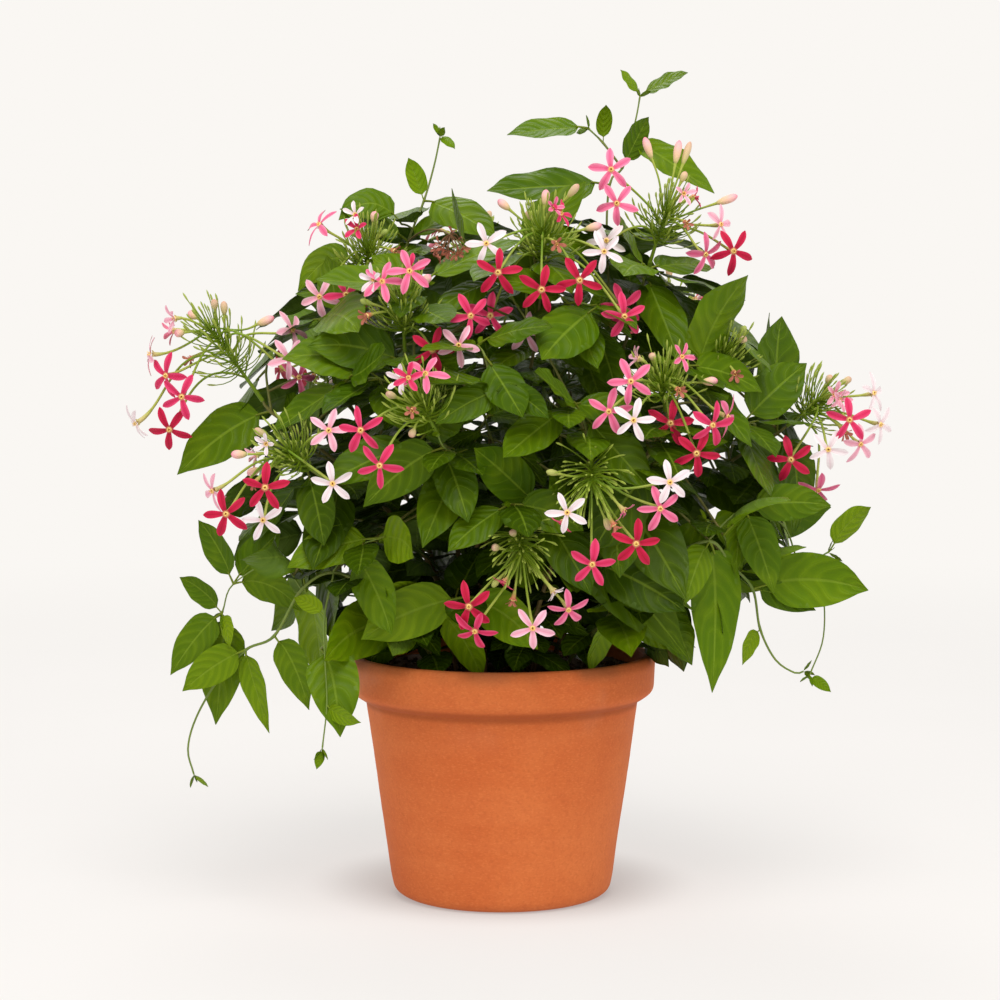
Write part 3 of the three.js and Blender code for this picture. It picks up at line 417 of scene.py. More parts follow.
def reach_of(line):
    """Distance of each point of a line from its start, along the line"""
    return np.concatenate([[0], np.cumsum(norm(np.diff(line, axis=0), axis=1))])


def headings(line):
    forward = np.gradient(line, axis=0)
    return forward / norm(forward, axis=1)[:, None]


def tube(line, radii, corners):
    forward = headings(line)
    side = FIRST_SIDE
    sides = []
    for direction in forward:
        side = square_to(side, direction)
        sides.append(side)
    sides = np.array(sides)
    radii = np.broadcast_to(radii, len(line))[:, None, None]
    return line[:, None] + radii * spokes(sides, np.cross(forward, sides), corners)


# Leaf: a petiole and an arched, softly folded blade
def rooted(line, stems):
    """The line with the nearest point of a stem put before it, if it starts close to one"""
    gaps = norm(stems - line[0], axis=1)
    if ROOT_REACH > gaps.min() > 0.3 * MM:
        return np.vstack([stems[gaps.argmin()], line])
    return line


def add_leaf(gathered, leaf, draw, young, stems, grid=BLADE_GRID):
    rows, columns = grid
    size = min(1.0, norm(leaf.tip - leaf.root) / (70 * MM))
    tint = draw.random()
    petiole = rooted(bezier(leaf[:3], np.linspace(0, BLADE_START + 0.04, 5)), stems)
    radii = np.linspace(*PETIOLE_RADII, len(petiole)) * size
    gathered.loft(tube(petiole, radii, 6), (0, 0, 1), (young, tint, 0))
    along = np.linspace(0, 1, rows)
    line = bezier(leaf[:3], BLADE_START + (1 - BLADE_START) * along)
    half = shaped(BLADE_OUTLINE, along) * leaf.breadth / 2
    across = np.linspace(-1, 1, columns)
    fold = draw.uniform(0.06, 0.3)
    curl = draw.uniform(-0.05, 0.25)
    wave = draw.uniform(0.03, 0.1) * leaf.breadth / 2
    beat = draw.uniform(1.6, 3.0)
    phase = [draw.uniform(0, TURN) for _ in range(2)]
    ripple = np.stack([np.sin(TURN * beat * along + phase[side > 0]) for side in across], axis=1)
    height = half[:, None] * (-fold * (1 - np.abs(across)) - curl * across**2)
    height = height + wave * across**2 * ripple * np.sin(np.pi * along)[:, None]
    rib = np.exp(-(across / 0.2) ** 2) * (1.1 - along[:, None]) * 0.9 * MM * size
    thickness = BLADE_THICKNESS * (1 - 0.5 * across**2) + rib
    gathered.blade(line, leaf.face, half, height, thickness, 0, young, tint)


# Flower: five narrow petals round a pale eye with short stamens
def add_star(gathered, star, draw, kind=OPEN):
    age = star.age / OLDEST
    tint = draw.random()
    for direction in star.petals:
        add_petal(gathered, star, direction, age, tint, draw, kind)
    add_eye(gathered, star, age, tint, draw)


def add_petal(gathered, star, direction, age, tint, draw, kind):
    length = norm(direction) * draw.uniform(0.94, 1.03)
    out = unit(direction)
    along = np.linspace(0, 1, PETAL_ROWS)
    reach = 1.2 * MM + (length - 1.2 * MM) * along
    recurve = draw.uniform(0.0, 0.16) + 0.1 * age
    height = length * (0.07 * np.sin(np.pi * along) - recurve * along**2)
    sway = length * draw.uniform(-0.09, 0.09) * along**2
    aside = np.cross(star.axis, out)
    line = star.centre + reach[:, None] * out + height[:, None] * star.axis + sway[:, None] * aside
    face = unit(star.axis + draw.uniform(-0.25, 0.25) * aside)
    half = shaped(PETAL_OUTLINE, along) * length * draw.uniform(0.88, 1.04)
    across = np.linspace(-1, 1, PETAL_COLUMNS)
    cup = draw.uniform(-0.2, 0.25)
    surface = half[:, None] * (cup * across**2 - 0.1 * (1 - np.abs(across)))
    thickness = PETAL_THICKNESS * (1 - 0.6 * across**2)
    gathered.blade(line, face, half, surface, thickness, kind, age, tint)


def turned_round(centre, axis, profile, corners):
    """Rings of a profile of (radius, height) points round an axis"""
    side = square_to(FIRST_SIDE, axis)
    out = spokes(side, np.cross(axis, side), corners)
    return np.stack([centre + radius * out + height * axis for radius, height in profile])


def add_eye(gathered, star, age, tint, draw):
    lip = EYE_RADIUS
    profile = ((lip, -0.5 * MM), (lip, 0.4 * MM), (0.8 * lip, 0.95 * MM), (0.55 * lip, 0.8 * MM),
               (0.42 * lip, 0.2 * MM), (0.1 * lip, -0.1 * MM))
    rings = turned_round(star.centre, star.axis, profile, 10)
    gathered.loft(rings, by_ring(0, np.linspace(0, 1, len(profile)), EYE), (age, tint, 0))
    shares = np.array([0, 0.7, 0.75, 0.87, 1])
    radii = np.array([0.14, 0.14, 0.4, 0.45, 0.1]) * MM
    for i in range(PETALS):
        out = around(star.axis, TURN * i / PETALS + draw.uniform(-0.3, 0.3))
        top = star.centre + star.axis * draw.uniform(1.9, 2.7) * MM + out * draw.uniform(0.9, 1.5) * MM
        low = star.centre + out * 0.5 * MM
        gathered.loft(tube(bezier([low, top], shares), radii, 5), (0, 0.45, EYE), (age, tint, 0))


def star_tube_line(star):
    """The tube's middle line, which ends along the star's axis"""
    start, middle, end = star.line
    t = 0.45
    last = end - star.axis * 0.36 * norm(end - start)
    rest = middle - (1 - t) ** 3 * start - 3 * (1 - t) * t**2 * last - t**3 * end
    return bezier([start, rest / (3 * (1 - t) ** 2 * t), last, end], np.linspace(0, 1, 18))


def add_star_tube(gathered, star, draw, stalk):
    line = rooted(star_tube_line(star), stalk)
    along = np.linspace(0, 1, len(line))
    swell = np.interp(along, (0, 0.5, 0.84, 0.92, 1), (0.85, 0.95, 1.1, 1.75, 2.1)) * MM
    kind = 1 + star.age / OLDEST
    gathered.loft(tube(line, swell, 7), by_ring(0, along, 0), (kind, draw.random(), 0))
    shares = np.linspace(0, 1, 4)
    radii = np.array([0.7, 0.6, 0.35, 0.05]) * MM
    for i in range(PETALS):
        out = around(star.axis, TURN * (i + 0.5) / PETALS)
        base = line[-1] + 1.7 * MM * out - 0.8 * MM * star.axis
        top = base + 1.6 * MM * out + 1.6 * MM * star.axis
        gathered.loft(tube(bezier([base, top], shares), radii, 4), (0, 1, 0), (kind, 0.5, 0))


# Bud: a closed corolla on the end of its green tube
def add_bud(green, petals, bud, draw, stalk):
    middles = np.array([ring.mean(0) for ring in bud])
    radius = norm(bud[3] - middles[3], axis=1).mean()
    size = (radius - BUD_RADIUS) / BUD_GROWTH / BUD_SIZES
    line = smooth(rooted(middles, stalk), 3.5 * MM)
    along = reach_of(line)
    along = along / along[-1]
    green_part = along < 0.8
    low = along[green_part]
    radii = np.interp(low, (0, 0.6, 0.72, 0.8), (0.75, 0.85, 1.2, 1.9)) * MM
    green.loft(tube(line[green_part], radii, 6), by_ring(0, low, 0), (1, draw.random(), 0))
    shares = np.array([0.72, 0.76, 0.81, 0.86, 0.9, 0.94, 0.97, 0.99, 1])
    profile = np.array([0.3, 0.62, 0.85, 0.98, 1, 0.9, 0.68, 0.4, 0.1]) * radius
    points = np.stack([np.interp(shares, along, line[:, i]) for i in range(3)], axis=-1)
    petals.loft(tube(points, profile, 8), by_ring(0, np.linspace(0, 1, 9), BUD), (size, draw.random(), 0))


def add_needle(gathered, start, heading, length, lean, draw):
    """A young unopened tube: thin, bent towards its lean, with a pointed end"""
    top = start + unit(heading + 0.45 * lean) * length
    middle = start + heading * 0.55 * length
    shares = np.array([0, 0.2, 0.4, 0.6, 0.78, 0.86, 0.94, 1])
    radii = np.array([0.6, 0.52, 0.46, 0.44, 0.46, 0.8, 0.76, 0.1]) * MM * draw.uniform(0.85, 1.15)
    line = bezier([start, middle, top], shares)
    gathered.loft(tube(line, radii, 5), by_ring(0, shares, 0), (0, draw.random(), 0))


def along_line(line, share):
    """Place and heading at a share of a line's length"""
    reach = reach_of(line)
    i = int(np.clip(np.searchsorted(reach, share * reach[-1]) - 1, 0, len(line) - 2))
    step = line[i + 1] - line[i]
    t = (share * reach[-1] - reach[i]) / norm(step)
    return line[i] + t * step, unit(step)


def add_pincushion(gathered, line, draw):
    """The dense young tubes of a head, which stand out all round the stalk and forward at its end"""
    for i in range(NEEDLES):
        start, forward = along_line(line, 0.4 + 0.58 * (i + 0.5) / NEEDLES)
        turn = GOLDEN_TURN * i + draw.uniform(-0.4, 0.4)
        rise = np.clip(-0.35 + 1.25 * (i + 0.5) / NEEDLES + draw.uniform(-0.15, 0.15), -0.6, 0.95)
        spread = math.sqrt(1 - rise**2)
        heading = unit(spread * around(forward, turn) + rise * forward)
        add_needle(gathered, start, heading, draw.uniform(*NEEDLE_LENGTHS) * MM, forward + 0.3 * UP, draw)


def add_side_bloom(green, petals, line, draw, withered):
    """A smaller flower behind the others, half open, or withered and hanging"""
    start, forward = along_line(line, draw.uniform(0.7, 0.98))
    side = square_to(np.cross(forward, UP), forward)
    turn = math.radians(draw.choice((-1, 1)) * draw.uniform(15, 80))
    out = math.sin(turn) * side - math.cos(turn) * np.cross(side, forward)
    heading = unit(out * draw.uniform(0.5, 1.1) + forward - (0.9 if withered else 0.1) * UP)
    length = draw.uniform(26, 40) * MM
    end = start + heading * length
    axis = unit(heading + 0.4 * out - 0.3 * UP)
    middle = start + heading * 0.45 * length + 2 * MM * UP
    opening = draw.uniform(0.9, 1.3) if withered else draw.uniform(0.35, 0.8)
    size = draw.uniform(7, 10) * MM if withered else draw.uniform(10, 14) * MM
    tips = []
    for i in range(PETALS):
        angle = TURN * i / PETALS + draw.uniform(-0.2, 0.2)
        tips.append(size * unit(around(axis, angle) + opening * axis))
    age = OLDEST if withered else draw.choice((0, 1, 2, 3, 3))
    star = Star(end, axis, tips, age, [start, middle, end])
    add_star(petals, star, draw, WITHERED if withered else OPEN)
    add_star_tube(green, star, draw, line)


# Stem: a fine tube along a stem that was found, with a swelling at each joint
def add_stem(gathered, stem, corners, wood, slim, stems):
    line, radii = stem["line"], stem["radii"].copy()
    radii[0] = radii[1] if len(radii) > 1 else radii[0]
    if len(stems):
        first = rooted(line, stems)
        radii = np.concatenate([radii[:1]] * (len(first) - len(line)) + [radii])
        line = first
    fine = smooth(np.column_stack([line, radii]), 5 * MM)
    line, radii = fine[:, :3], fine[:, 3]
    radii = np.maximum(radii * np.linspace(slim, 0.7 * slim, len(radii)), 0.6 * MM)
    for joint in stem["joints"]:
        gap = norm(line - joint, axis=1)
        radii = radii * (1 + 0.3 * np.exp(-(gap / (3.5 * MM)) ** 2))
    along = np.linspace(0, 1, len(line))
    gathered.loft(tube(line, radii, corners), tone=by_ring(np.clip(wood - 0.5 * along, 0, 1), 0, 0))
    return line


# Materials
class Shader:
    """A node material, put together in short calls; a colour is a socket or three numbers up to 255"""

    def __init__(self, name, roughness, specular):
        self.material = bpy.data.materials.new(name)
        self.material.use_nodes = True
        self.tree = self.material.node_tree
        self.surface = self.tree.nodes["Principled BSDF"]
        self.surface.inputs["Specular IOR Level"].default_value = specular
        self.surface.inputs["Roughness"].default_value = roughness

    def node(self, kind, inputs=(), output=0, **settings):
        """An output of a new node"""
        made = self.tree.nodes.new(f"ShaderNode{kind}")
        for key, value in settings.items():
            setattr(made, key, value)
        for place, value in dict(inputs).items():
            self.feed(made.inputs[place], value)
        return made.outputs[output]

    def feed(self, socket, value):
        if isinstance(value, bpy.types.NodeSocket):
            self.tree.links.new(value, socket)
        else:
            socket.default_value = value

    def math(self, operation, a, b=0.0):
        return self.node("Math", {0: a, 1: b}, operation=operation)

    def times(self, a, b):
        return self.math("MULTIPLY", a, b)

    def total(self, *parts):
        """The sum of some values, each with its weight"""
        whole = 0.0
        for value, weight in parts:
            whole = self.node("Math", {0: value, 1: weight, 2: whole}, operation="MULTIPLY_ADD")
        return whole

    def step(self, value, low, high, start=0.0, end=1.0):
        """A smooth step from start to end as the value goes from low to high"""
        inputs = {0: value, 1: low, 2: high, 3: start, 4: end}
        return self.node("MapRange", inputs, interpolation_type="SMOOTHSTEP")

    def mix(self, share, a, b):
        a, b = (srgb(*colour) if isinstance(colour, tuple) else colour for colour in (a, b))
        return self.node("Mix", {0: share, 6: a, 7: b}, 2, data_type="RGBA")

    def wash(self, base, colour, *step):
        """The base with a colour laid over it by a smooth step"""
        return self.mix(self.step(*step), base, colour)

    def over(self, base, *layers):
        """The base with some colours laid over it, each by a share times an amount"""
        for share, amount, colour in layers:
            base = self.mix(self.times(share, amount), base, colour)
        return base

    def ramp(self, share, *colours):
        made = self.node("ValToRGB", {0: share})
        points = made.node.color_ramp.elements
        for i, colour in enumerate(colours):
            place = i / (len(colours) - 1)
            point = points[i] if i < 2 else points.new(place)
            point.position = place
            point.color = srgb(*colour)
        return made

    def place(self):
        return self.node("TexCoord", output="Object")

    def distance(self, centre):
        return self.node("VectorMath", {0: self.place(), 1: centre}, "Value", operation="DISTANCE")

    def noise(self, scale, detail, stretch=(1, 1, 1)):
        return self.clouds(self.node("Mapping", {0: self.place(), 3: stretch}), scale, detail)

    def clouds(self, vector, scale, detail):
        return self.node("TexNoise", {"Vector": vector, "Scale": scale, "Detail": detail})

    def parts(self, vector):
        return self.node("SeparateXYZ", {0: vector}).node.outputs

    def values(self, name):
        return self.parts(self.node("Attribute", output="Vector", attribute_name=name))

    def bump(self, height, distance, strength):
        inputs = {"Height": height, "Distance": distance, "Strength": strength}
        self.feed(self.surface.inputs["Normal"], self.node("Bump", inputs))

    def finish(self, colour, roughness=None):
        self.feed(self.surface.inputs["Base Color"], colour)
        if roughness is not None:
            self.feed(self.surface.inputs["Roughness"], roughness)
        return self.material


def leaf_material():
    leaf = Shader("leaf", 0.4, 0.09)
    across, along, stalk = leaf.values("mark")
    young, tint, under = leaf.values("tone")
    off = leaf.math("ABSOLUTE", across)
    # Side veins leave the midrib and bend forward to the margin
    beat = leaf.total((along, 6.0), (leaf.math("POWER", off, 1.5), -1.8), (leaf.noise(60, 0), 0.9))
    to_vein = leaf.math("ABSOLUTE", leaf.math("SUBTRACT", leaf.math("FRACT", beat), 0.5))
    vein = leaf.times(leaf.step(to_vein, 0.01, 0.09, 1.0, 0.0), leaf.step(off, 0.6, 0.95, 1.0, 0.0))
    midrib = leaf.step(off, 0.02, 0.08, 1.0, 0.0)
    quilt = leaf.math("COSINE", leaf.times(beat, TURN))
    fine = leaf.noise(900, 1)
    # deep, the darkest green, is for the low and inner leaves: partly their own colour, partly painted shade
    # inside the bush
    deep = leaf.mix(tint, (35, 55, 2), (52, 74, 3))
    mature = leaf.mix(tint, (64, 92, 3), (84, 110, 4))
    fresh = leaf.mix(tint, (100, 132, 4), (126, 152, 12))
    lighter = leaf.mix(young, (68, 92, 4), (134, 158, 18))
    # Painted shade: a darker green in the quilted hollows between the side veins
    painted_hollow_shade = leaf.mix(young, (32, 52, 2), (68, 104, 3))
    petiole = leaf.mix(young, (92, 92, 30), (120, 140, 40))
    base = leaf.wash(leaf.wash(deep, mature, young, 0.0, 0.5), fresh, young, 0.5, 1.0)
    base = leaf.wash(base, lighter, leaf.noise(38, 2), 0.4, 0.75, 0.0, 0.5)
    base = leaf.wash(base, painted_hollow_shade, quilt, -1.0, 0.6, 0.0, 0.3)
    base = leaf.over(base, (vein, 0.25, (102, 132, 22)), (midrib, 0.5, (124, 148, 40)),
                     (under, 0.5, (100, 126, 56)), (stalk, 1.0, petiole))
    height = leaf.total((vein, -0.6), (midrib, -1.0), (quilt, -0.7), (fine, 0.25))
    leaf.bump(leaf.times(height, leaf.math("SUBTRACT", 1.0, stalk)), 0.35 * MM, 0.8)
    return leaf.finish(base, leaf.step(fine, 0.3, 0.7, 0.3, 0.44))


def petal_material():
    petal = Shader("petal", 0.55, 0.22)
    across, along, kind = petal.values("mark")
    age, tint, under = petal.values("tone")
    off = petal.math("ABSOLUTE", across)
    inputs = {0: petal.times(across, 5.0), 1: along, 2: petal.times(tint, 40.0)}
    streak = petal.clouds(petal.node("CombineXYZ", inputs), 1.6, 3.0)
    body = petal.ramp(age, (238, 224, 227), (243, 178, 196), (232, 108, 148), (216, 46, 96), (190, 12, 58))
    pale = petal.ramp(age, (246, 240, 240), (250, 214, 222), (244, 158, 184), (230, 90, 132), (212, 40, 88))
    deep = petal.ramp(age, (226, 188, 198), (230, 128, 158), (212, 64, 112), (186, 22, 66), (146, 4, 34))
    colour = petal.wash(body, pale, off, 0.3, 1.0, 0.0, 0.7)
    for step in ((off, 0.0, 0.2, 0.5, 0.0), (along, 0.0, 0.35, 0.6, 0.0), (streak, 0.45, 0.75, 0.0, 0.5)):
        colour = petal.wash(colour, deep, *step)
    colour = petal.over(colour, (under, 0.35, petal.mix(0.5, pale, (236, 150, 160))))
    colour = petal.wash(colour, (246, 206, 150), along, 0.0, 0.12, 0.7, 0.0)
    faded = petal.mix(streak, (150, 52, 52), (222, 150, 120))
    eye = petal.ramp(along, (240, 196, 120), (252, 228, 150), (250, 216, 120), (214, 120, 40), (120, 40, 20))
    bud = petal.ramp(along, (196, 194, 116), (236, 198, 160), (244, 192, 180), (242, 170, 178),
                     (232, 128, 150))
    bud = petal.wash(petal.mix(tint, (150, 168, 78), (190, 190, 110)), bud, age, 0.35, 0.95)
    for this, look in ((WITHERED, faded), (EYE, eye), (BUD, bud)):
        colour = petal.mix(petal.math("COMPARE", kind, this), colour, look)
    ribs = petal.math("SINE", petal.times(across, 22.0))
    petal.bump(petal.total((ribs, 0.5), (streak, 1.0)), 0.12 * MM, 0.5)
    return petal.finish(colour)


def tube_material():
    green = Shader("calyx_tube", 0.5, 0.25)
    _, along, _ = green.values("mark")
    # The kind is 0 for a young tube, 1 under a bud or a new flower, and 2 under the oldest
    kind, tint, _ = green.values("tone")
    young = green.mix(tint, (94, 122, 12), (126, 150, 24))
    grown = green.mix(tint, (110, 140, 30), (140, 162, 46))
    ripe = green.wash((206, 190, 128), (212, 120, 96), kind, 1.3, 2.0)
    young = green.wash(young, (156, 172, 70), along, 0.5, 0.9)
    grown = green.wash(grown, (176, 184, 84), along, 0.35, 0.85)
    grown = green.wash(grown, ripe, along, 0.84, 1.0)
    shade = green.noise(260, 2)
    colour = green.wash(young, grown, kind, 0.4, 0.6)
    colour = green.wash(colour, (84, 112, 34), shade, 0.5, 0.8, 0.0, 0.3)
    green.bump(shade, 0.1 * MM, 0.5)
    return green.finish(colour)


def stem_material():
    stem = Shader("stem", 0.6, 0.35)
    wood, _, _ = stem.values("tone")
    grain = stem.noise(160, 4, (1, 1, 0.25))
    spots = stem.noise(700, 2)
    green = stem.mix(grain, (84, 110, 38), (128, 148, 62))
    brown = stem.mix(grain, (84, 52, 32), (142, 102, 66))
    colour = stem.wash(stem.mix(wood, green, brown), (170, 140, 96), spots, 0.6, 0.75, 0.0, 0.4)
    stem.bump(stem.total((grain, 1.0), (spots, 0.4)), 0.3 * MM, 0.7)
    return stem.finish(colour)


def clay_material():
    clay = Shader("clay", 0.78, 0.22)
    rings = clay.noise(60, 3, (0.06, 0.06, 1))
    grain = clay.noise(900, 2, (0.4, 0.4, 1))
    pits = clay.noise(420, 3)
    _, _, height = clay.parts(clay.place())
    colour = clay.wash((198, 97, 45), (212, 115, 59), clay.noise(9, 4), 0.25, 0.75)
    colour = clay.wash(colour, (188, 88, 42), clay.noise(110, 4), 0.35, 0.7, 0.0, 0.2)
    colour = clay.wash(colour, (226, 132, 78), rings, 0.4, 0.7, 0.0, 0.12)
    colour = clay.wash(colour, (226, 134, 80), grain, 0.45, 0.75, 0.0, 0.35)
    colour = clay.wash(colour, (172, 80, 38), pits, 0.45, 0.8, 0.0, 0.3)
    # Pale bloom on the collar, painted shade in a band under its foot, and damp stains near the rim
    bloom = clay.times(clay.step(clay.noise(14, 4), 0.5, 0.75), clay.step(height, 0.12, 0.19))
    under = clay.times(clay.step(height, COLLAR_FOOT - 6 * MM, COLLAR_FOOT - 1 * MM),
                       clay.step(height, COLLAR_FOOT + 3 * MM, COLLAR_FOOT + 7 * MM, 1.0, 0.0))
    damp = clay.times(clay.step(clay.noise(12, 3), 0.42, 0.6), clay.step(height, 0.183, 0.198))
    colour = clay.over(colour, (bloom, 0.4, (214, 156, 122)), (under, 0.5, (134, 60, 26)),
                       (damp, 0.6, (118, 74, 46)))
    clay.bump(clay.total((grain, 0.4), (pits, 0.5), (rings, 0.2)), 0.25 * MM, 0.6)
    return clay.finish(colour, clay.step(grain, 0.3, 0.7, 0.7, 0.86))


def soil_material():
    soil = Shader("soil", 0.92, 0.25)
    clods = soil.noise(180, 4)
    grain = soil.noise(900, 3)
    colour = soil.mix(clods, (58, 40, 26), (110, 80, 54))
    colour = soil.wash(colour, (166, 132, 98), grain, 0.62, 0.75, 0.0, 0.8)
    soil.bump(soil.total((clods, 1.0), (grain, 0.5)), 1.2 * MM, 1.0)
    return soil.finish(colour)


# Pot: a thrown shape turned round the axis, with a thick rounded collar
def rounded(profile, radius):
    """The profile with its inner corners rounded off"""
    profile = np.array(profile)
    points = [profile[0]]
    for before, corner, after in zip(profile, profile[1:], profile[2:]):
        reach = min(radius, 0.45 * norm(before - corner), 0.45 * norm(after - corner))
        start = corner + unit(before - corner) * reach
        end = corner + unit(after - corner) * reach
        points.extend(bezier([start, corner, end], np.linspace(0, 1, 5)))
    points.append(profile[-1])
    return points


def stretched(points, step):
    """Extra points on the long stretches of a profile"""
    finer = [points[0]]
    for start, end in zip(points, points[1:]):
        count = max(1, math.ceil(norm(end - start) / step))
        finer.extend(start + (end - start) * (i + 1) / count for i in range(count))
    return finer


def add_pot(material):
    rim, top, foot = POT_RIM / MM, POT_TOP / MM, COLLAR_FOOT / MM
    body_top, body_foot = rim - 14, rim - 36.5
    wall, floor = 10, 13
    profile = [(0.1, 1.5), (body_foot - 20, 1.5), (body_foot - 17, 0), (body_foot - 8, 0), (body_foot, 5),
               (body_foot + 2, 14), (body_top - 0.3, foot - 2), (body_top, foot), (rim - 8.5, foot + 3),
               (rim - 1, foot + 8.5), (rim, top - 6), (rim - 3.5, top), (rim - wall + 1, top),
               (rim - wall - 0.5, top - 5), (rim - wall - 1, foot + 12), (body_top - wall, foot - 3),
               (body_foot - wall, floor), (0.1, floor)]
    outline = stretched(rounded(profile, 4.5), 5)
    rings = turned_round(np.zeros(3), UP, np.array(outline) * MM, 144)
    for place in rings.reshape(-1, 3):
        x, y, z = place
        reach = math.hypot(x, y)
        if reach > 20 * MM:
            swell = noise.noise((x * 9, y * 9, z * 14)) * 0.5 * MM
            turn = noise.noise((0.3, 0.7, z * 150)) * 0.15 * MM
            place[:2] *= 1 + (swell + turn) / reach
    gathered = Gathered()
    gathered.loft(rings)
    gathered.piece("pot_clay", material, "clay", "pot", sharp=60)


# Soil: a crumbly bed with loose clods
def add_soil(material):
    radius, top, foot = SOIL_RADIUS, SOIL_TOP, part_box("soil")[0].z
    profile = [(0.1 * MM, foot), (POT_RIM - 47.5 * MM, foot), (radius - 6 * MM, top - 30 * MM),
               (radius, top - 12 * MM), (radius, top - 2 * MM)]
    sides = len(profile)
    profile += [(radius * share, top) for share in np.linspace(0.985, 0.02, 46)]
    rings = turned_round(np.zeros(3), UP, profile, 150)
    for place in rings[sides:].reshape(-1, 3):
        spot = (place[0] * 60, place[1] * 60, 0.0)
        place[2] += (noise.fractal(spot, 1.0, 2.0, 5) * 1.9 + 0.4) * MM
    gathered = Gathered()
    gathered.loft(rings)
    lump = [(0.15, -1), (0.75, -0.65), (1, 0), (0.8, 0.6), (0.2, 0.95)]
    draw = random.Random(71)
    for _ in range(CLODS):
        turn = draw.uniform(0, TURN)
        reach = radius * math.sqrt(draw.random()) * 0.96
        size = draw.uniform(0.8, 2.9) * MM
        centre = np.array([reach * math.cos(turn), reach * math.sin(turn), top + 0.3 * size])
        axis = unit([draw.uniform(-0.6, 0.6), draw.uniform(-0.6, 0.6), 1])
        rings = turned_round(centre, axis, [(size * r, size * h * 0.7) for r, h in lump], 7)
        jitter = np.array([[draw.uniform(0.7, 1.25) for _ in range(7)] for _ in lump])[..., None]
        gathered.loft(centre + (rings - centre) * jitter)
    gathered.piece("potting_soil", material, "soil", "soil", sharp=80)


# Canes with their leaves
TRAILING = ("cane_low_left", "cane_low_right")
# Places along the leaves so far, which further leaves keep clear of
TAKEN = []
# Single leaves of the photograph's outline: cane, root, bend and tip in mm, breadth in mm
OUTLINE_LEAVES = {
    "cane_upper_left": (((-81, 0, 546), (-104, -8, 580), (-131, -15, 549), 29),
                        ((-117, -20, 514), (-138, -25, 534), (-163, -30, 492), 27)),
    "cane_low_left": (((-140, -122, 217), (-128, -136, 208), (-124, -146, 152), 40),),
}
# Dried flowers: cane, middle, and how many
DRIED_CLUSTER = ("cane_upper_left", np.array([-40, -78, 528]) * MM, 14)


def spots_of(leaf):
    """Places along the middle of a leaf, and beside its widest part"""
    spots = bezier(leaf[:3], np.array([0.25, 0.4, 0.55, 0.7, 0.85, 1.0]))
    side = unit(np.cross(leaf.face, leaf.tip - leaf.root)) * 0.35 * leaf.breadth
    return np.vstack([spots, spots[1:4] + side, spots[1:4] - side])


def has_room(leaf):
    """Whether a leaf keeps clear of those that are there already; if so, it takes its place"""
    spots = spots_of(leaf)
    taken = np.vstack(TAKEN)
    near = taken[norm(taken - spots[2], axis=1) < 90 * MM]
    if len(near) and norm(near[:, None] - spots[None], axis=2).min() < CLEARANCE:
        return False
    TAKEN.append(spots)
    return True


def add_cane(node):
    found = GROWN[node]
    draw = random.Random(node)
    trailing = node in TRAILING
    stems = Gathered()
    stem_points = np.empty((0, 3))
    cane_wood, twig_wood, slim = TRAILING_CANE if trailing else PLAIN_CANE
    for order, stem in enumerate(found["stems"]):
        corners, wood = (6, twig_wood) if order else (8, cane_wood)
        line = add_stem(stems, stem, corners, wood, slim, stem_points)
        stem_points = np.vstack([stem_points, line])
    leaves = Gathered()
    for leaf in found["leaves"]:
        if trailing:
            young = draw.uniform(0.55, 0.9)
        else:
            # Lower leaves get a lower young value, which is painted shade from the plant above
            young = draw.uniform(0.02, 0.3) + np.interp(leaf.tip[2], *YOUNG_AND_SHADE_BY_HEIGHT)
        if norm(leaf.tip - leaf.root) < 40 * MM:
            young = min(1.0, young + 0.3)
        add_leaf(leaves, leaf, draw, young, stem_points)
    for stem in found["stems"][0 if trailing else 1:]:
        add_shoot_tip(leaves, stem["line"], draw, stem_points)
    for root, bend, tip, breadth in OUTLINE_LEAVES.get(node, ()):
        root, bend, tip = (np.array(place) * MM for place in (root, bend, tip))
        twig = twig_to(root, stem_points)
        stems.loft(tube(twig, 0.9 * MM, 6), tone=(0.2, 0, 0))
        leaf = Leaf(root, bend, tip, unit([0.1, -0.9, 0.5]), breadth * MM)
        add_leaf(leaves, leaf, draw, 0.7, twig)
    stems.piece(f"{node}_stems", STEM_LOOK, "leaf", node)
    leaves.piece(f"{node}_leaves", LEAF_LOOK, "leaf", node, sharp=75)
    add_inner_leaves(node, stem_points, draw)
    if node == DRIED_CLUSTER[0]:
        add_dried_cluster(stem_points)


def twig_to(place, stem_points):
    """A short bowed line from the nearest stem to a place"""
    start = stem_points[norm(stem_points - place, axis=1).argmin()]
    middle = (start + place) / 2 + 0.15 * norm(place - start) * UP
    return bezier([start, middle, place], np.linspace(0, 1, 9))


def add_dried_cluster(stem_points):
    """Withered flowers that hang together on short red stalks"""
    _, centre, count = DRIED_CLUSTER
    draw = random.Random(17)
    stalks, petals = Gathered(), Gathered()
    twig = twig_to(centre + 8 * MM * UP, stem_points)
    stalks.loft(tube(twig, 0.8 * MM, 6), tone=(0.8, 0, 0))
    for _ in range(count):
        away = unit([draw.uniform(-1, 1), draw.uniform(-1, 0.3), draw.uniform(-1, 0.5)])
        place = centre + away * draw.uniform(7, 16) * MM
        line = bezier([twig[-1], twig[-1] + 6 * MM * away, place], np.linspace(0, 1, 7))
        stalks.loft(tube(line, 0.45 * MM, 5), tone=(1, 0, 0))
        star = Star(place, away, [], OLDEST, line)
        for k in range(PETALS):
            out = around(away, TURN * k / PETALS + draw.uniform(-0.4, 0.4))
            out = out + draw.uniform(0.3, 1.4) * away
            star.petals.append(unit(out) * draw.uniform(4, 8) * MM)
        for direction in star.petals:
            add_petal(petals, star, direction, 1, draw.random(), draw, WITHERED)
    stalks.piece("dried_cluster_stalks", STEM_LOOK, "leaf")
    petals.piece("dried_cluster_flowers", PETAL_LOOK, "flower", sharp=75)


def hanging_leaf(start, heading, length, breadth, droop, face):
    bend = start + heading * length * 0.5
    return Leaf(start, bend, bend + unit(heading - droop * UP) * length * 0.5, face, breadth)


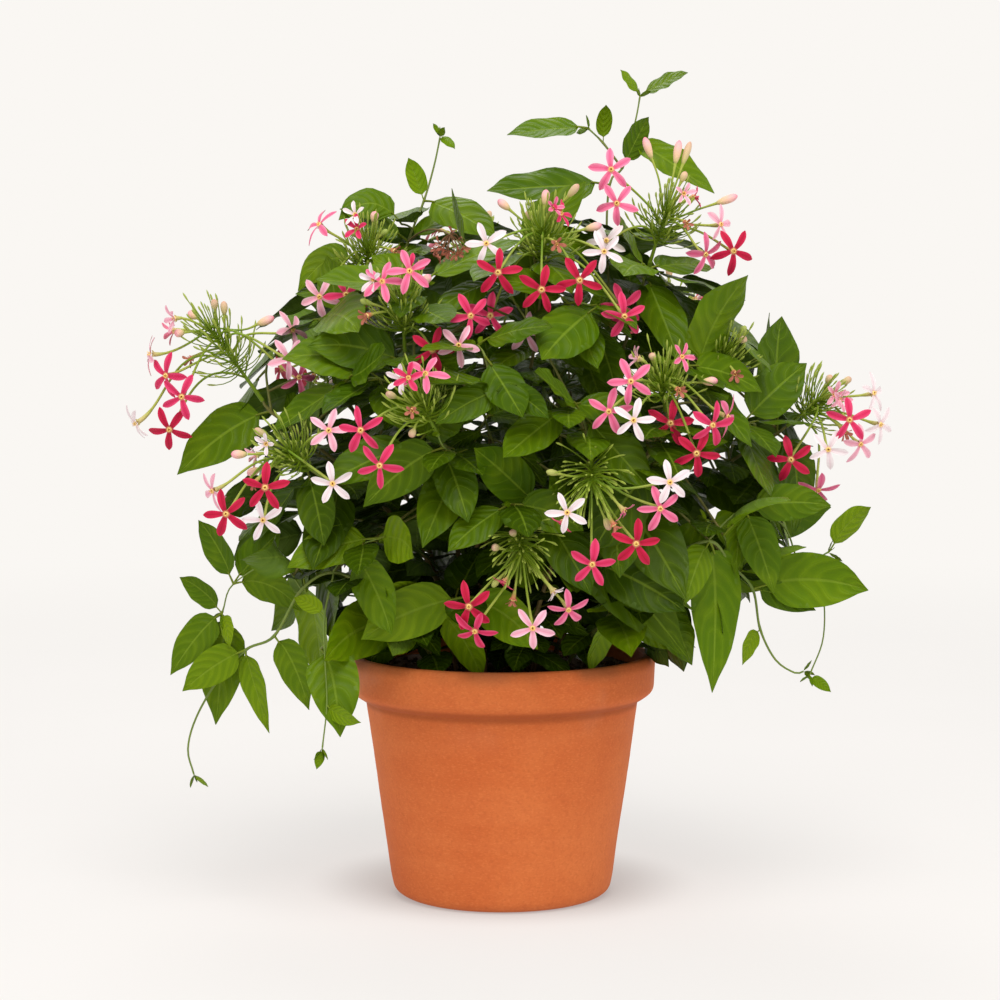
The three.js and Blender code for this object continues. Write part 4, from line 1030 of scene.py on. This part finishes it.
def add_shoot_tip(leaves, line, draw, stem_points):
    """Two or three leaflets that are just opening at the end of a twig"""
    forward = unit(line[-1] - line[-2])
    turn = draw.uniform(0, math.pi)
    for i in range(draw.choice((2, 3))):
        out = around(forward, turn + math.pi * i + draw.uniform(-0.4, 0.4))
        length = draw.uniform(9, 17) * MM * (0.7 if i == 2 else 1)
        heading = unit(forward + (0.3 if i == 2 else draw.uniform(0.6, 1.3)) * out)
        leaf = hanging_leaf(line[-1], heading, length, 0.38 * length, 0.3, unit(out + 0.3 * UP))
        add_leaf(leaves, leaf, draw, 1, stem_points, LEAFLET_GRID)


def inner_age_and_shade(leaf, draw):
    """How young an inner leaf looks, with painted shade: the higher, the younger and lighter; the lower, the
    darker
    """
    return draw.uniform(0, 0.2) + np.interp(leaf.tip[2], *INNER_YOUNG_AND_SHADE_BY_HEIGHT)


def add_inner_twig(twigs, leaves, start, draw):
    """A thin leafy twig from a cane into the middle of the bush"""
    turn = draw.uniform(0, TURN)
    reach = math.sqrt(draw.random())
    end = np.array([0.13 * reach * math.cos(turn) + 0.01, 0.08 * reach * math.sin(turn),
                    draw.uniform(0.31, 0.54)])
    middle = (start + end) / 2 + draw.uniform(0.01, 0.04) * UP
    line = bezier([start, middle, end], np.linspace(0, 1, 16))
    tones = by_ring(np.linspace(0.5, 0.1, 16), 0, 0)
    twigs.loft(tube(line, np.linspace(1.2, 0.6, 16) * MM, 6), tone=tones)
    forward = headings(line)
    side = square_to(FIRST_SIDE, forward[0])
    for i in range(5, 16, 2):
        side = square_to(np.cross(side, forward[i]) if i % 4 == 1 else side, forward[i])
        for way in (-1, 1):
            heading = unit(way * side + 0.4 * forward[i] + draw.uniform(-0.2, 0.3) * UP)
            length = draw.uniform(*TWIG_LEAF_LENGTHS) * MM
            face = unit(UP * 0.8 + np.array([draw.uniform(-0.4, 0.4), draw.uniform(-0.9, 0.3), 0]))
            leaf = hanging_leaf(line[i], heading, length, length * draw.uniform(0.44, 0.56),
                                draw.uniform(0.3, 1.4), face)
            if has_room(leaf):
                add_leaf(leaves, leaf, draw, inner_age_and_shade(leaf, draw), line, INNER_GRID)


def add_inner_leaves(node, stem_points, draw):
    """Smaller leaves deep in the bush, darker partly by their own colour and partly by painted shade, and
    short ones that hang over the soil
    """
    x, y, z = stem_points.T
    inside = ((((stem_points - CORE_CENTRE) / CORE_RADII) ** 2).sum(1) < 1) & (z > POT_TOP + 20 * MM)
    low = (z > POT_TOP + 2 * MM) & (z < POT_TOP + 70 * MM) & (np.hypot(x, y) < POT_MOUTH)
    leaves = Gathered()
    for zone, count, lengths in ((inside, INNER_LEAVES, INNER_LENGTHS), (low, SKIRT_LEAVES, SKIRT_LENGTHS)):
        places = stem_points[zone]
        missing = count
        for _ in range(5 * count if len(places) else 0):
            if missing == 0:
                break
            start = places[draw.randrange(len(places))]
            outward = unit(start * np.array([1, 1, 0]) + np.array([0.001, 0, 0]))
            turn = draw.uniform(0, TURN)
            aside = np.array([math.cos(turn), math.sin(turn), draw.uniform(-0.2, 0.5)])
            heading = unit(outward * 0.7 + aside)
            length = draw.uniform(*lengths) * MM
            face = unit(0.6 * outward + 0.9 * UP + 0.4 * aside)
            droop = draw.uniform(0.4, 1.6)
            leaf = hanging_leaf(start, heading, length, length * draw.uniform(0.44, 0.58), droop, face)
            within = math.hypot(*leaf.tip[:2]) <= POT_MOUTH
            lowest = SOIL_TOP + 3 * MM if within else POT_TOP + 4 * MM
            if leaf.tip[2] >= lowest and has_room(leaf):
                missing -= 1
                add_leaf(leaves, leaf, draw, inner_age_and_shade(leaf, draw), stem_points, INNER_GRID)
    twigs = Gathered()
    places = stem_points[(z > TWIG_HEIGHTS[0]) & (z < TWIG_HEIGHTS[1])]
    for _ in range(INNER_TWIGS):
        add_inner_twig(twigs, leaves, places[draw.randrange(len(places))], draw)
    twigs.piece(f"{node}_inner_twigs", STEM_LOOK, "leaf")
    leaves.piece(f"{node}_inner_leaves", LEAF_LOOK, "leaf", sharp=75)


def add_head(node):
    found = GROWN[node]
    draw = random.Random(node)
    green, petals = Gathered(), Gathered()
    line = found["stems"][0]["line"]
    gaps = [norm(CANE_TIPS - end, axis=1).min() for end in (line[0], line[-1])]
    if gaps[1] < gaps[0]:
        line = line[::-1]
    fine = smooth(rooted(line, CANE_TIPS), 4 * MM)
    green.loft(tube(fine, np.linspace(1.8, 0.7, len(fine)) * MM, 7), (0, 0.2, 0), (0, 0.3, 0))
    for star in found["stars"]:
        add_star(petals, star, draw)
        add_star_tube(green, star, draw, fine)
    for bud in found["buds"]:
        if len(bud) == BUD_RINGS:
            add_bud(green, petals, bud, draw, fine)
        else:
            base, _, tip = (ring.mean(0) for ring in bud)
            add_needle(green, rooted(np.array([base, tip]), fine)[0], unit(tip - base),
                       norm(tip - base), 0.2 * UP, draw)
    add_pincushion(green, fine, draw)
    for i in range(SIDE_BLOOMS if len(found["stars"]) > 2 else 1):
        add_side_bloom(green, petals, fine, draw, i == 0)
    green.piece(f"{node}_tubes", TUBE_LOOK, "leaf", node)
    petals.piece(f"{node}_flowers", PETAL_LOOK, "flower", node, sharp=75)


# Studio: a round pale stage, soft light from above and the front, and the camera
def add_stage():
    profile = [(0.001, 0), (0.3, 0), (0.6, 0), (1.5, 0), (4.2, 0), (5.2, 0.08), (6, 0.5), (6.4, 1.2),
               (6.5, 2.2), (6.5, 5)]
    rings = turned_round(np.zeros(3), UP, profile, 96)
    first = np.arange(rings[..., 0].size).reshape(rings.shape[:2])
    after = np.roll(first, -1, axis=1)
    faces = np.stack([first[:-1], first[1:], after[1:], after[:-1]], axis=-1).reshape(-1, 4).tolist()
    mesh = bpy.data.meshes.new("stage")
    mesh.from_pydata(rings.reshape(-1, 3).tolist(), [], faces)
    mesh.shade_smooth()
    mesh.materials.append(paper_material())
    stage = placed("stage", mesh)


def paper_material():
    """Matt white near the pot, with a painted shadow round its foot, that turns into an even pale glow far
    off
    """
    paper = Shader("paper", 0.95, 0.0)
    # Painted shadow: the glow is dimmed in a ring round the pot's foot
    dim = paper.step(paper.distance(PAINTED_SHADOW_CENTRE), *PAINTED_SHADOW_REACH, PAINTED_SHADOW_DEPTH, 0.0)
    paper.surface.inputs["Emission Color"].default_value = srgb(254, 252, 250)
    paper.feed(paper.surface.inputs["Emission Strength"], paper.math("SUBTRACT", GLOW_NEAR, dim))
    paper.finish(paper.mix(paper.noise(3, 1), (158, 156, 154), (162, 160, 158)))
    far = paper.node("Emission", {0: srgb(*BACKDROP)})
    share = paper.step(paper.distance((0, 0, 0)), *FAR_REACH)
    joined = paper.node("MixShader", {0: share, 1: paper.surface.outputs[0], 2: far})
    paper.feed(paper.tree.nodes["Material Output"].inputs["Surface"], joined)
    return paper.material


def add_lamp(name, place, size, power):
    light = bpy.data.lights.new(name, "AREA")
    light.size = size
    light.energy = power
    light.color = LAMP_COLOUR
    lamp = placed(name, light)
    lamp.location = place
    towards = Vector(LAMP_AIM) - Vector(place)
    lamp.rotation_euler = towards.to_track_quat("-Z", "Y").to_euler()


def add_camera():
    camera = placed("camera", bpy.data.cameras.new("camera"))
    camera.location = CAMERA_PLACE
    camera.rotation_euler = (CAMERA_PITCH, 0, 0)
    camera.data.lens = CAMERA_LENS
    bpy.context.scene.camera = camera


def set_world():
    world = bpy.data.worlds.new("studio")
    world.use_nodes = True
    bpy.context.scene.world = world
    background = world.node_tree.nodes["Background"]
    background.inputs["Color"].default_value = srgb(252, 250, 247)
    background.inputs["Strength"].default_value = SKY
    bpy.context.scene.view_settings.view_transform = "Standard"


CANE_TIPS = np.array([stem["line"][-1] for node, found in GROWN.items() for stem in found["stems"]
                      if node.startswith("cane")])
LEAF_LOOK, PETAL_LOOK = leaf_material(), petal_material()
TUBE_LOOK, STEM_LOOK = tube_material(), stem_material()
TAKEN.extend(spots_of(leaf) for found in GROWN.values() for leaf in found["leaves"])
add_pot(clay_material())
add_soil(soil_material())
for node in GROWN:
    if node.startswith("cane"):
        add_cane(node)
    else:
        add_head(node)
add_stage()
add_camera()
add_lamp("key", (0.15, -1.5, 2.7), 1.8, 62)
add_lamp("back", (-0.3, 1.7, 2.5), 1.6, 24)
set_world()
